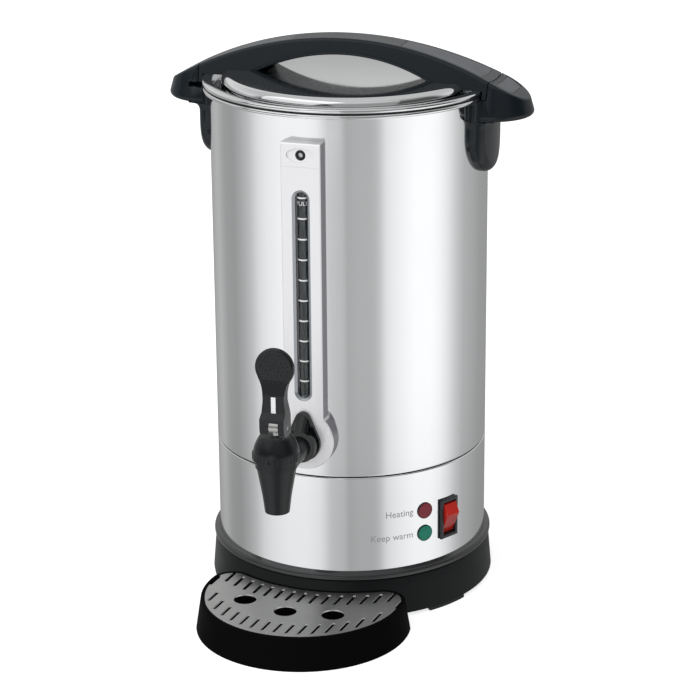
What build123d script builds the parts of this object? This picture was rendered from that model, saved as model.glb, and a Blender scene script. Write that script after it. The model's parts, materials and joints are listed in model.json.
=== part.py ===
"""Hot water urn: a stainless tank on a black base, with a lid, two side handles, a level gauge,
a self-closing tap and a loose drip tray.

Millimetres. +Z is up, the floor is z = 0 and the tank's axis is the Z axis. The tap, the gauge and
the tray face -Y, and the handles lie along X. An azimuth is measured from the front (-Y) towards +X.
"""
from build123d import *
from math import cos, radians, sin, sqrt, tan
import os

os.makedirs("parts", exist_ok=True)

# ---- fits ----
FIT = 0.05               # between pieces that are fastened together
RUN = 0.08               # radial clearance of a pin or stem that turns or slides in its hole
GAP = 0.3                # between pieces that move past each other
BEYOND = 400.0           # reach of a cutter that has to pass everything

# ---- tank and lower shell ----
SHELL_R = 102.5          # outer radius of both shells
SHEET = 0.8              # sheet thickness of the shells, the lid and the tank bottom
BASE_TOP_Z = 31.6        # deck of the base, which carries the lower shell
SEAM_Z = 112.0           # top of the lower shell
SEAM_GAP = 0.5           # groove between the two shells
SHELL_EDGE_R = 1.6       # rounded edges each side of that groove
DECK_FLANGE = 14.0       # width of the lower shell's inward flange under the tank
TANK_H = 271.1           # from the tank's bottom to the top of its rolled rim
HEM_H = 3.1              # height of a rolled edge
HEM_REACH = 5.5          # how far a rolled edge stands out from the wall
HEM_ROUND = 1.4          # its rounding

# ---- lid ----
SEAL_T = 1.0             # ring between lid and rim
LID_EDGE_W = 14.5        # from the tank's wall in to the flat top
LID_CROWN_H = 7.2        # height of the flat top above the seal
SHOULDER_R = 6.0         # rounded shoulder round the flat top
SPIGOT_GAP = 0.5         # between the lid's locating channel and the tank
SPIGOT_DEPTH = 4.6       # how far the channel dips below the seal's top

# ---- lid handle and side handles: one tapered bar under one arc, cut at a round seam ----
ARCH_RISE = 26.5         # top of the bar above the flat lid
ARCH_R = 265.0           # radius of its top line
ARCH_HALF_W = 12.5       # half width at the very top
BAR_DRAFT = 16.0         # degrees, the sides widen downwards
ARCH_T = 12.0            # thickness of the arch at mid span
GRIP_R = 148.5           # radius of the finger gap's roof
SEAM_OUT = 9.5           # the seam between lid handle and side handles lies this far outside the wall
SEAM_PLAY = 0.6          # clearance across it, so that the lid can turn
SKIRT_T = 3.0            # end skirt of the lid handle, outside the rim
SKIRT_DROP = 5.8         # how far it hangs below the rolled edge's top
BAR_ROUND = 3.0          # rounding of the bar's top edges
GRIP_ROUND = 2.5         # rounding of the edges over the fingers
WING_L = 24.6            # a side handle's tip beyond the seam, at the arc's height
INLAY_T = 1.0            # soft grip panels let into the top
INLAY_GROOVE = 0.3       # open groove round them
INLAY_BORDER = 4.0
INLAY_START_X = 42.0
INLAY_TO_SEAM = 6.5
SEAM_TO_WING_INLAY = 4.0
WING_INLAY_TO_TIP = 9.5
TONGUE_HALF_W = 27.5     # plate of the side handle that hugs the tank
TONGUE_T = 9.0
TONGUE_L = 41.0          # from the wing's underside to its round end
TONGUE_ROUND = 7.0
WING_UNDER_DROP = 17.6   # underside of the wing below the tank's rim
WING_UNDER_RISE = 1.5    # and how much higher it lies at the tip
WING_UNDER_ROUND = 3.5
WEB_R = 5.0              # hollow corner between wing and tongue
WEB_INSET = 1.0          # it ends this far inside their sides
LUG_POCKET = (4.6, 11.0, 3.6)   # bayonet pocket: radial depth, length, height
SIDE_SCREW_DOWN = (5.0, 23.0)   # screws below the wing's underside
SCREW_R = 2.0            # M4 screws
SCREW_HEAD_R = 3.8
SCREW_HEAD_H = 2.4
SCREW_END_GAP = 2.5      # a blind screw ends this far below the outer face
LID_SCREW_IN = 11.0      # lid screws inside the edge of the flat top
LID_SCREW_Y = 6.5
LID_SCREW_L = 9.0
WASHER_T = 1.0
WASHER_LAP = 1.2         # how far a washer shows round its screw head

# ---- base ----
RING_W = 4.5             # bead between shell and base
RING_H = 5.5
RING_ROUND = 2.4
BASE_STEP = 1.2          # the skirt's top lies inside the bead's edge
BASE_FLARE = 2.5         # and the skirt widens downwards
BASE_WALL = 3.0
BASE_EDGE_R = 0.8
FOOT_H = 3.0
FOOT_COUNT = 6
FOOT_ARC = 19.0          # degrees
FOOT_T = 3.4
FOOT_INSET = 0.4
DECK_W = 18.8            # width of the deck inside the skirt's wall
BOSS_R = 5.0
BOSS_FROM_DECK_EDGE = 8.0
BOSS_AZIMUTHS = (45, 135, 225, 315)
BASE_SCREW_L = 13.0
PLATE_T = 1.2
PLATE_Z = 6.5
PLATE_PLAY = 0.6
VENT_ROWS = 5
VENT_PITCH = 9.0
VENT_SIZE = (34.0, 3.0)
VENT_OFFSET_X = 38.0

# ---- heater, under the tank ----
HEATER_R = 66.0
HEATER_T = 5.0
ELEMENT_IN = 12.0            # boil element inside the heater plate's edge
ELEMENT_R = 4.0
KEEP_WARM_IN = 34.0
KEEP_WARM_R = 3.2
ELEMENT_GAP_ANGLE = 24.0     # degrees left open between an element's two cold ends
COLD_END_L = 16.0
THERMOSTAT_R = 12.0
THERMOSTAT_H = 11.0
TAB = (0.8, 6.0, 8.0)        # blade terminal: thickness, width, length
CUTOUT_SIZE = (20.0, 12.0, 9.0)
TERMINAL_SIZE = (44.0, 18.0, 14.0)
TERMINAL_Y = 45.0
TERMINAL_WAYS = 4
TERMINAL_WIRE_R = 2.4
TERMINAL_SCREW_R = 2.2

# ---- controls on the lower shell ----
SWITCH_AZIMUTH = 62.0
SWITCH_Z = 69.0
LAMP_AZIMUTH = 49.5
LAMP_FROM_SWITCH = (11.0, -7.0)   # heating lamp above the switch's middle, keep-warm lamp below it
LAMP_R = 6.2
LAMP_PROUD = 1.2
LAMP_BODY_R = 5.0
LAMP_BODY_L = 18.0
LAMP_NUT_T = 3.0
LAMP_NUT_LAP = 2.4
BEZEL_W = 17.5
BEZEL_H = 31.0
BEZEL_T = 2.2
BEZEL_RIM = 2.4
BEZEL_EDGE_R = 0.6
SWITCH_WALL = 1.0
SWITCH_DEPTH = 17.0
SWITCH_FLOOR = 4.0
ROCKER_RIDGE = 7.4           # how far the ridge stands out from the axle
ROCKER_END = 2.8             # and its two ends
ROCKER_RIDGE_UP = 5.0        # the ridge lies above the middle
ROCKER_RIDGE_ROUND = 1.2
ROCKER_END_GAP = 0.9
ROCKER_PIVOT_DEPTH = 4.0
ROCKER_SWING = 18.0          # degrees from off to on
ROCKER_DEPTH = 3.0           # depth of the rocker's body behind the pivot
ROCKER_AXLE_R = 1.5
INLET_Z = 66.0
INLET_FLANGE = (50.0, 28.0, 3.0)
INLET_CORNER = 5.0
INLET_SEAT = 1.5             # foot of the flange that reaches down to the curved shell
INLET_BODY = (31.0, 23.0)
INLET_SOCKET = (24.0, 17.0, 15.0)
INLET_KEY = 4.5              # cut corners of the socket
INLET_DEPTH = 20.0
INLET_SCREW_X = 20.0
INLET_SCREW_IN = 8.0
INLET_PIN = (4.0, 2.0)
INLET_PIN_AT = ((-7.0, -1.5), (0.0, 2.5), (7.0, -1.5))
INLET_PIN_L = 12.0

# ---- tap ----
TAP_REACH = 68.5             # tap's axis in front of the wall
SHANK_UP = 30.0              # shank above the seam between the shells
SPOUT_DROP = 30.0            # spout's mouth below the shank
SPOUT_R = 8.8
SPOUT_BORE_R = 6.0
CONE_TOP_UP = 4.0            # top of the spout's cone above the shank
CONE_TOP_R = 14.2
COLLAR_R = 15.0
COLLAR_H = 4.6
NECK_R = 13.0
NECK_H = 5.5
CHAMBER_R = 10.5
CHAMBER_DROP = 5.0           # valve chamber's floor below the shank
SEAT_BORE_R = 5.2
SHANK_R = 8.4
SHANK_BORE_R = 4.4
SHANK_IN = 12.0              # length of the shank inside the tank
FLANGE_L = 10.5              # teardrop boss in front of the gauge
FLANGE_PLATE_T = 3.0
FLANGE_R = 13.0
FLANGE_FRONT_R = 11.8
LOBE_R = 5.6
LOBE_UP = 18.5
TAP_GASKET_T = 1.5
TEE_R = 12.6
NIPPLE_R = 2.0
NIPPLE_BORE_R = 1.2
NIPPLE_IN_TUBE = 4.0
NUT_R = 14.5
NUT_T = 6.0
BONNET_H = 18.75             # from the collar to the bonnet's top
BONNET_TOP_R = 11.0
BONNET_MAX_R = 16.2
BONNET_MAX_UP = 12.0         # widest place above the cone
BONNET_ROOF_T = 4.4
BONNET_RIBS = 32
RIB_H = 5.0
RIB_W = 0.9
RIB_UP = 1.4
STEM_R = 2.2
STEM_EYE_R = 3.9
STEM_FLANGE_R = 4.6
STEM_FLANGE_T = 1.4
STEM_IN_CUP = 3.0
CUP_R = 8.0
CUP_T = 6.0
SPRING_WIRE_R = 0.6
SPRING_TURNS = 5
PIVOT_ABOVE_BONNET = 5.6
PIN_R = 1.5
PIN_END = 0.4                # the pin ends this far inside the lever's sides
LEVER_SWING = 60.0           # degrees forward
STEM_LIFT = 3.0              # rise of the stem over that swing
LEVER_HALF_W = 9.0
LEVER_BACK = 6.0             # block behind the pivot
LEVER_BLOCK_H = 13.5         # block height above the bonnet
LEVER_NECK_HALF_W = 7.9
LEVER_NECK_UP = 26.0         # neck above the bonnet
LEVER_NECK_FRONT = 4.6
LEVER_NECK_BACK = 3.4
FORK_HALF_W = 4.5
FORK_H = 11.5
PADDLE_R = 14.2
PADDLE_UP = 49.4             # paddle centre above the bonnet
PADDLE_T = 5.0
PADDLE_ROUND = 1.6
MARKER_SIZE = (3.5, 14.5, 1.2)
MARKER_UP = 22.0

# ---- level gauge ----
GAUGE_PROUD = 9.5            # front face in front of the wall
GAUGE_HALF_W = 14.7
GAUGE_TOP_DROP = 19.8        # top below the tank's rim
GAUGE_END_R = 22.5           # round end behind the tap
GAUGE_END_UP = 2.0           # its middle above the shank
GAUGE_WALL = 1.8
GAUGE_EDGE = 0.8
SLOT_W = 9.5
SLOT_FROM_SHANK = 33.5
SLOT_FROM_TOP = 35.3
SLOT_BEVEL = 1.9
TUBE_R = 4.0
TUBE_BORE_R = 3.0
TUBE_TO_TANK = 0.3
TUBE_PAST_SLOT = (8.5, 12.5)   # the tube runs on below and above the slot
SEAL_H = 9.0
SEAL_COLLAR_H = 2.5
VENT_R = 1.2
CAP_H = 17.0
CAP_RECESS = (20.5, 10.0, 0.8)
CHANNEL_HALF_W = 6.0
GAUGE_SCREW_DROP = 8.5
GAUGE_HEAD_R = 3.3
GAUGE_HEAD_T = 0.7
GAUGE_NUT_R = 4.0
GAUGE_NUT_T = 3.0

# ---- drip tray ----
TRAY_OUT = 15.5              # centre of its round front, in front of the wall
TRAY_R_FOOT = 79.5
TRAY_LEAN = 4.0              # its wall leans inwards by this much
TRAY_H = 25.0
TRAY_WALL = 2.6
TRAY_FLOOR = 2.4
TRAY_TO_BASE = 0.4
TRAY_CORNER_R = 16.0
TRAY_EDGE_R = 1.2
LEDGE_W = 2.4
GRATE_T = 1.0
GRATE_DROP = 0.4
GRATE_HOLE_R = 8.4
GRATE_HOLES = ((-38.0, -21.0), (-3.0, -32.0), (32.0, -28.0))   # from the centre of the tray's front
GRATE_SLOT_W = 2.6
GRATE_SLOT_PITCH = 9.0
GRATE_SLOT_LEAN = 5.0        # degrees
GRATE_SLOT_L = (10.0, 17.0)  # shortest and longest
GRATE_BACK_MARGIN = 4.5      # from the grate's back edge to the back row
GRATE_FRONT_MARGIN = 5.0
GRATE_HOLE_MARGIN = 2.6

# ---- places that follow ----
INNER_R = SHELL_R - SHEET
RIM_R = SHELL_R + HEM_REACH
TANK_FLOOR_Z = SEAM_Z + SEAM_GAP
RIM_TOP_Z = TANK_FLOOR_Z + TANK_H
LID_HEM_Z = RIM_TOP_Z + SEAL_T + 2 * FIT
LID_HEM_TOP = LID_HEM_Z + HEM_H
LID_TOP_Z = LID_HEM_Z + LID_CROWN_H
LID_CROWN_R = SHELL_R - LID_EDGE_W
SPIGOT_R = INNER_R - SPIGOT_GAP
SPIGOT_Z = LID_HEM_Z - SPIGOT_DEPTH
HANDLE_TOP_Z = LID_TOP_Z + ARCH_RISE
ARCH_CENTRE_Z = HANDLE_TOP_Z - ARCH_R
SEAM_R = SHELL_R + SEAM_OUT
SEAM_INNER_R = SEAM_R - SEAM_PLAY / 2
SEAM_OUTER_R = SEAM_R + SEAM_PLAY / 2
WING_TIP_X = SEAM_R + WING_L
TIP_DROP = ARCH_R - sqrt(ARCH_R ** 2 - WING_TIP_X ** 2)
INLAY_END_R = SEAM_R - INLAY_TO_SEAM
WING_INLAY_START_R = SEAM_R + SEAM_TO_WING_INLAY
WING_INLAY_END_X = WING_TIP_X - WING_INLAY_TO_TIP
WING_UNDER_Z = RIM_TOP_Z - WING_UNDER_DROP
TONGUE_R = SHELL_R + TONGUE_T
TONGUE_BOTTOM_Z = WING_UNDER_Z - TONGUE_L
SIDE_SCREW_Z = [WING_UNDER_Z - down for down in SIDE_SCREW_DOWN]
LEDGE_Z = LID_HEM_TOP - SKIRT_DROP - GAP
RING_R = SHELL_R + RING_W
BASE_R_TOP = RING_R - BASE_STEP
BASE_R_BOTTOM = BASE_R_TOP + BASE_FLARE
DECK_Z = BASE_TOP_Z - BASE_WALL
DECK_HOLE_R = BASE_R_TOP - BASE_WALL - DECK_W
BOSS_PITCH_R = DECK_HOLE_R + BOSS_FROM_DECK_EDGE
ELEMENT_LOOP_R = HEATER_R - ELEMENT_IN
KEEP_WARM_LOOP_R = HEATER_R - KEEP_WARM_IN
CUTOUT_Y = -(ELEMENT_LOOP_R - ELEMENT_R + KEEP_WARM_LOOP_R + KEEP_WARM_R) / 2
LAMP_Z = [SWITCH_Z + up for up in LAMP_FROM_SWITCH]
TAP_Y = -(SHELL_R + TAP_REACH)
SHANK_Z = SEAM_Z + SHANK_UP
SPOUT_Z = SHANK_Z - SPOUT_DROP
CONE_TOP_Z = SHANK_Z + CONE_TOP_UP
CHAMBER_FLOOR_Z = SHANK_Z - CHAMBER_DROP
BONNET_Z = CONE_TOP_Z + COLLAR_H + FIT
BONNET_TOP_Z = BONNET_Z + BONNET_H
BONNET_MAX_Z = CONE_TOP_Z + BONNET_MAX_UP
PIVOT_Z = BONNET_TOP_Z + PIVOT_ABOVE_BONNET
CAM_LIFT = STEM_LIFT / radians(LEVER_SWING)
TAP_WALL_Y = -SHELL_R - FIT
TAP_INNER_Y = -sqrt(INNER_R ** 2 - NUT_R ** 2) + FIT
GAUGE_FRONT_Y = -(SHELL_R + GAUGE_PROUD)
GAUGE_TOP_Z = RIM_TOP_Z - GAUGE_TOP_DROP
GAUGE_END_Z = SHANK_Z + GAUGE_END_UP
GAUGE_SCREW_Z = GAUGE_TOP_Z - GAUGE_SCREW_DROP
SLOT_Z = (SHANK_Z + SLOT_FROM_SHANK, GAUGE_TOP_Z - SLOT_FROM_TOP)
TUBE_Z = (SLOT_Z[0] - TUBE_PAST_SLOT[0], SLOT_Z[1] + TUBE_PAST_SLOT[1])
TUBE_AXIS_Y = -SHELL_R - TUBE_TO_TANK - TUBE_R
TRAY_CENTRE_Y = -(SHELL_R + TRAY_OUT)
TRAY_R_TOP = TRAY_R_FOOT - TRAY_LEAN
TRAY_BACK_R = BASE_R_BOTTOM + TRAY_TO_BASE


# ---- helpers ----
def export(name, *solids):
    """Writes one node: a solid, or a group of separate solids."""
    shape = solids[0] if len(solids) == 1 else Compound(children=list(solids))
    shape.label = name
    export_step(shape, f"parts/{name}.step")


def turned(*profile):
    """Revolves a closed outline of (radius, z) points about the Z axis."""
    return revolve(make_face(Plane.XZ * Polyline(*profile, close=True)), Axis.Z)


def ring(r_in, r_out, z_low, z_high):
    """A flat ring or, with no inner radius, a disc."""
    disc = Pos(0, 0, (z_low + z_high) / 2) * Cylinder(r_out, z_high - z_low)
    if r_in <= 0:
        return disc
    return disc - Pos(0, 0, (z_low + z_high) / 2) * Cylinder(r_in, z_high - z_low + 2)


def on_wall(azimuth, z, radius=SHELL_R):
    """A plane on the shell: its z points outwards, its y upwards."""
    a = radians(azimuth)
    outward = Vector(sin(a), -cos(a), 0)
    return Plane(origin=outward * radius + Vector(0, 0, z), x_dir=(cos(a), sin(a), 0), z_dir=outward)


def along_y(radius, y_low, y_high, x=0.0, z=0.0):
    """A round bar along Y."""
    return Pos(x, (y_low + y_high) / 2, z) * Rot(90, 0, 0) * Cylinder(radius, y_high - y_low)


def along_x(radius, x_low, x_high, y=0.0, z=0.0):
    """A round bar along X."""
    return Pos((x_low + x_high) / 2, y, z) * Rot(0, 90, 0) * Cylinder(radius, x_high - x_low)


def block(x, y, z):
    """A block from its (low, high) pairs."""
    size = [high - low for low, high in (x, y, z)]
    middle = [(high + low) / 2 for low, high in (x, y, z)]
    return Pos(*middle) * Box(*size)


def round_edges(solid, radius, test):
    """Rounds the edges for which the test holds."""
    return fillet([edge for edge in solid.edges() if test(edge)], radius)


def half_turn(solid):
    """The same piece on the other side of the tank."""
    return Rot(0, 0, 180) * solid


# ---- shells ----
def rolled_edge(r_wall, z_low):
    """The hem of a sheet, rolled outwards to the rim's radius."""
    outline = Plane.XZ * Pos((r_wall + RIM_R) / 2, z_low + HEM_H / 2) * Rectangle(RIM_R - r_wall, HEM_H)
    outer = outline.vertices().sort_by(Axis.X)[-2:]
    return revolve(fillet(outer, HEM_ROUND), Axis.Z)


def tank():
    wall = turned((0, TANK_FLOOR_Z), (SHELL_R, TANK_FLOOR_Z), (SHELL_R, RIM_TOP_Z - HEM_H / 2),
                  (INNER_R, RIM_TOP_Z - HEM_H / 2), (INNER_R, TANK_FLOOR_Z + SHEET), (0, TANK_FLOOR_Z + SHEET))
    wall = round_edges(wall, SHELL_EDGE_R,
                       lambda e: e.geom_type == GeomType.CIRCLE and abs(e.radius - SHELL_R) < 0.01
                       and e.center().Z < TANK_FLOOR_Z + 0.1)
    body = wall + rolled_edge(INNER_R, RIM_TOP_Z - HEM_H)
    body -= along_y(SHANK_R + RUN, -BEYOND, 0, z=SHANK_Z)
    body -= along_y(SCREW_R + FIT, -BEYOND, 0, z=GAUGE_SCREW_Z)
    for z in SIDE_SCREW_Z:
        body -= along_x(SCREW_R + FIT, -BEYOND, BEYOND, z=z)
    return body


def lower_shell():
    flange_r = SHELL_R - DECK_FLANGE
    shell = turned((INNER_R, BASE_TOP_Z + FIT), (SHELL_R, BASE_TOP_Z + FIT), (SHELL_R, SEAM_Z), (flange_r, SEAM_Z),
                   (flange_r, SEAM_Z - SHEET), (INNER_R, SEAM_Z - SHEET))
    shell = round_edges(shell, SHELL_EDGE_R / 2,
                        lambda e: e.geom_type == GeomType.CIRCLE and abs(e.radius - SHELL_R) < 0.01
                        and e.center().Z > SEAM_Z - 0.1)
    for z in LAMP_Z:
        shell -= on_wall(LAMP_AZIMUTH, z) * Cylinder(LAMP_BODY_R + FIT, SHELL_R)
    switch_w, switch_h = switch_opening()
    shell -= on_wall(SWITCH_AZIMUTH, SWITCH_Z) * Box(switch_w + 2 * (SWITCH_WALL + FIT),
                                                   switch_h + 2 * (SWITCH_WALL + FIT), SHELL_R)
    inlet = on_wall(180, INLET_Z)
    shell -= inlet * Box(INLET_BODY[0] + 2 * FIT, INLET_BODY[1] + 2 * FIT, SHELL_R)
    for x in (-INLET_SCREW_X, INLET_SCREW_X):
        shell -= inlet * Pos(x, 0, 0) * Cylinder(SCREW_R + FIT, SHELL_R)
    return shell


# ---- lid ----
def lid_pan():
    wall_r = LID_CROWN_R + SHOULDER_R
    pan = turned((0, LID_TOP_Z), (wall_r, LID_TOP_Z), (wall_r, SPIGOT_Z + SHEET), (SPIGOT_R - SHEET, SPIGOT_Z + SHEET),
                 (SPIGOT_R - SHEET, LID_HEM_Z + HEM_H / 2), (SPIGOT_R, LID_HEM_Z + HEM_H / 2), (SPIGOT_R, SPIGOT_Z),
                 (wall_r - SHEET, SPIGOT_Z), (wall_r - SHEET, LID_TOP_Z - SHEET), (0, LID_TOP_Z - SHEET))

    def shoulder(edge, radius, z):
        return edge.geom_type == GeomType.CIRCLE and abs(edge.radius - radius) < 0.01 and abs(edge.center().Z - z) < 0.01

    pan = round_edges(pan, SHOULDER_R, lambda e: shoulder(e, wall_r, LID_TOP_Z))
    pan = round_edges(pan, SHOULDER_R - SHEET, lambda e: shoulder(e, wall_r - SHEET, LID_TOP_Z - SHEET))
    pan += rolled_edge(SPIGOT_R - SHEET, LID_HEM_Z)
    for x, y in lid_screw_places():
        pan -= Pos(x, y, LID_TOP_Z) * Cylinder(SCREW_R + FIT, SHOULDER_R)
    return pan


def lid_seal():
    return ring(INNER_R + HEM_ROUND, RIM_R - HEM_ROUND, RIM_TOP_Z + FIT, LID_HEM_Z - FIT)


def lid_screw_places():
    x = LID_CROWN_R - LID_SCREW_IN
    return [(sx * x, sy * LID_SCREW_Y) for sx in (-1, 1) for sy in (-1, 1)]


def lid_screws():
    under = LID_TOP_Z - SHEET - FIT
    screws = []
    for x, y in lid_screw_places():
        shaft = ring(0, SCREW_R, under - SCREW_HEAD_H / 2, under + SHEET + LID_SCREW_L)
        head = fillet(ring(0, SCREW_HEAD_R, under - SCREW_HEAD_H, under).edges().group_by(Axis.Z)[0], 1.0)
        screws.append(Pos(x, y, 0) * (shaft + head))
    return screws


# ---- handles ----
def tapered_bar(border=0.0):
    """The bar that the handles are cut from: round ended, wider downwards."""
    tip_inset = TIP_DROP * tan(radians(BAR_DRAFT))
    outline = SlotOverall(2 * (WING_TIP_X - tip_inset - border), 2 * (ARCH_HALF_W - border))
    return extrude(Pos(0, 0, HANDLE_TOP_Z) * outline, HANDLE_TOP_Z - TONGUE_BOTTOM_Z, dir=(0, 0, -1), taper=-BAR_DRAFT)


def under_arc(lowered=0.0):
    """Everything under the arc of the handle's top line, lowered if asked."""
    return along_y(ARCH_R, -BEYOND / 2, BEYOND / 2, z=ARCH_CENTRE_Z - lowered)


def handle_stock():
    """The bar under its arc, with rounded top edges."""
    stock = tapered_bar() & under_arc()
    top = stock.faces().sort_by(Axis.Z)[-1]
    return fillet(top.edges(), BAR_ROUND)


def lid_handle(stock):
    arch = stock & ring(0, SEAM_INNER_R, SPIGOT_Z, BEYOND + HANDLE_TOP_Z)
    arch -= along_y(GRIP_R, -BEYOND / 2, BEYOND / 2, z=HANDLE_TOP_Z - ARCH_T - GRIP_R)
    arch = round_edges(arch, GRIP_ROUND,
                       lambda e: abs(e.center().X) < 1 and abs(e.center().Y) > ARCH_HALF_W / 2
                       and e.bounding_box().max.Z < HANDLE_TOP_Z - ARCH_T + 1)
    seat = ring(0, LID_CROWN_R + SHOULDER_R + FIT, 0, LID_TOP_Z + FIT)
    seat = fillet(seat.edges().group_by(Axis.Z)[-1], SHOULDER_R)
    arch -= seat
    arch -= ring(0, SEAM_INNER_R - SKIRT_T, 0, LID_HEM_TOP + FIT)
    arch -= ring(0, SEAM_R, 0, LID_HEM_TOP - SKIRT_DROP)
    for x, y in lid_screw_places():
        arch -= Pos(x, y, LID_TOP_Z + LID_SCREW_L / 2) * Cylinder(SCREW_R + FIT, LID_SCREW_L + 1)
    return arch - lid_inlay(0.0) - half_turn(lid_inlay(0.0))


def lid_inlay(shrink):
    """The soft panel in the top of the lid handle, on the right."""
    panel = tapered_bar(INLAY_BORDER + shrink) & under_arc()
    panel -= under_arc(INLAY_T - FIT if shrink else INLAY_T)
    panel &= ring(0, INLAY_END_R - shrink, 0, BEYOND + HANDLE_TOP_Z)
    return panel & block((INLAY_START_X + shrink, BEYOND), (-BEYOND, BEYOND), (0, BEYOND + HANDLE_TOP_Z))


def side_handle():
    """The right side handle's wing, outside the seam."""
    start_x, start_z = SHELL_R - SHEET, WING_UNDER_Z
    run = WING_TIP_X - start_x
    below = start_z - TONGUE_L
    wing = handle_stock() & block((start_x, BEYOND), (-BEYOND, BEYOND), (below, HANDLE_TOP_Z))
    under = Plane.XZ * Polyline((start_x, start_z), (start_x + 2 * run, start_z + 2 * WING_UNDER_RISE),
                                (start_x + 2 * run, below), (start_x, below), close=True)
    wing -= extrude(make_face(under), BEYOND, both=True)
    tip_wall = HANDLE_TOP_Z - TIP_DROP - BAR_ROUND - start_z - WING_UNDER_RISE
    return round_edges(wing, min(WING_UNDER_ROUND, tip_wall / 2),
                       lambda e: e.center().X > TONGUE_R and e.bounding_box().max.Z < start_z + 2 * WING_UNDER_RISE)


def wing_web():
    """The hollow corner where the wing's underside runs down into the tongue."""
    low, high = WING_UNDER_Z - WEB_R, WING_UNDER_Z + WEB_R
    corner = block((SHELL_R, TONGUE_R + WEB_R), (-BEYOND, BEYOND), (low, high))
    corner -= along_y(WEB_R, -BEYOND, BEYOND, x=TONGUE_R + WEB_R, z=low)
    half_w = TONGUE_HALF_W - WEB_INSET
    return corner & tapered_bar(WEB_INSET) & block((0, BEYOND), (-half_w, half_w), (0, BEYOND + high))


def tongue():
    """The plate below the wing that lies on the tank, with a round end."""
    round_z = TONGUE_BOTTOM_Z + TONGUE_HALF_W
    outline = Pos(0, (LEDGE_Z + round_z) / 2) * Rectangle(2 * TONGUE_HALF_W, LEDGE_Z - round_z)
    outline += Pos(0, round_z) * Circle(TONGUE_HALF_W)
    plate = extrude(Plane.YZ * outline, BEYOND) & ring(0, TONGUE_R, 0, HANDLE_TOP_Z)

    def outer_rim(edge):
        middle = edge @ 0.5
        return abs(sqrt(middle.X ** 2 + middle.Y ** 2) - TONGUE_R) < 0.1 and edge.center().Z < LEDGE_Z - 1

    return round_edges(plate, TONGUE_ROUND, outer_rim)


def side_handles():
    """Right and left side handles, with the bayonet pocket and the screw holes."""
    handle = side_handle() + tongue() + wing_web()
    top = BEYOND + HANDLE_TOP_Z
    handle -= ring(0, SHELL_R + FIT, 0, top)
    handle -= ring(0, RIM_R + GAP, RIM_TOP_Z - HEM_H - FIT, top)
    handle -= ring(0, SEAM_OUTER_R, LEDGE_Z, top)
    depth, length, height = LUG_POCKET
    handle -= block((0, SEAM_OUTER_R + depth), (TONGUE_HALF_W - length, BEYOND), (LEDGE_Z - height, LEDGE_Z + FIT))
    for z in SIDE_SCREW_Z:
        handle -= along_x(SCREW_R + FIT, 0, TONGUE_R - SCREW_END_GAP + FIT, z=z)
    handle -= wing_inlay(0.0)
    return handle, half_turn(handle)


def wing_inlay(shrink):
    """The soft panel in the top of the right side handle."""
    panel = tapered_bar(INLAY_BORDER + shrink) & under_arc()
    panel -= under_arc(INLAY_T - FIT if shrink else INLAY_T)
    panel -= ring(0, WING_INLAY_START_R + shrink, 0, BEYOND + HANDLE_TOP_Z)
    return panel & block((SHELL_R, WING_INLAY_END_X - shrink), (-BEYOND, BEYOND), (0, BEYOND + HANDLE_TOP_Z))


def side_screws():
    """Screws from inside the tank into the tongues, and the sealing washers under their heads."""
    washer_r = SCREW_HEAD_R + WASHER_LAP
    seat_x = sqrt(INNER_R ** 2 - washer_r ** 2) - FIT
    head_x = seat_x - WASHER_T - FIT
    screws, washers = [], []
    for z in SIDE_SCREW_Z:
        shaft = along_x(SCREW_R, head_x - SCREW_HEAD_H / 2, TONGUE_R - SCREW_END_GAP, z=z)
        head = along_x(SCREW_HEAD_R, head_x - SCREW_HEAD_H, head_x, z=z)
        washer = along_x(washer_r, seat_x - WASHER_T, seat_x, z=z) - along_x(SCREW_R + FIT, 0, BEYOND, z=z)
        for place in (lambda s: s, half_turn):
            screws.append(place(shaft + head))
            washers.append(place(washer))
    return screws, washers


# ---- base ----
def base_ring():
    outline = Plane.XZ * Pos((SHELL_R + FIT + RING_R) / 2, BASE_TOP_Z + FIT + RING_H / 2) * Rectangle(
        RING_R - SHELL_R - FIT, RING_H)
    return revolve(fillet(outline.vertices().sort_by(Axis.X)[-2:], RING_ROUND), Axis.Z)


def base_skirt():
    wall = turned((BASE_R_TOP, BASE_TOP_Z), (BASE_R_BOTTOM, FOOT_H), (BASE_R_BOTTOM - BASE_WALL, FOOT_H),
                  (BASE_R_TOP - BASE_WALL, DECK_Z), (DECK_HOLE_R, DECK_Z), (DECK_HOLE_R, BASE_TOP_Z))
    wall = round_edges(wall, BASE_EDGE_R, lambda e: e.geom_type == GeomType.CIRCLE and e.center().Z > BASE_TOP_Z - 0.1
                       and e.radius > BASE_R_TOP - 0.1)
    boss = ring(0, BOSS_R, PLATE_Z + PLATE_T + FIT, (DECK_Z + BASE_TOP_Z) / 2)
    boss -= ring(0, SCREW_R + FIT, 0, PLATE_Z + BASE_SCREW_L + FIT)
    for place in boss_places():
        wall += place * boss
    return wall


def boss_places():
    return [Pos(*on_wall(azimuth, 0, BOSS_PITCH_R).origin) for azimuth in BOSS_AZIMUTHS]


def skirt_inner_r(z):
    """Inside radius of the flared skirt at a height."""
    flare = BASE_FLARE * (z - FOOT_H) / (DECK_Z - FOOT_H)
    return BASE_R_BOTTOM - BASE_WALL - flare


def base_feet():
    feet = []
    foot = ring(BASE_R_BOTTOM - FOOT_INSET - FOOT_T, BASE_R_BOTTOM - FOOT_INSET, 0, FOOT_H - FIT)
    reach = 2 * BASE_R_BOTTOM
    for i in range(FOOT_COUNT):
        middle = i * 360 / FOOT_COUNT
        a, b = radians(middle - FOOT_ARC / 2), radians(middle + FOOT_ARC / 2)
        wedge = make_face(Polyline((0, 0), (reach * sin(a), -reach * cos(a)), (reach * sin(b), -reach * cos(b)),
                                   close=True))
        feet.append(foot & extrude(wedge, FOOT_H))
    return feet


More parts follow.
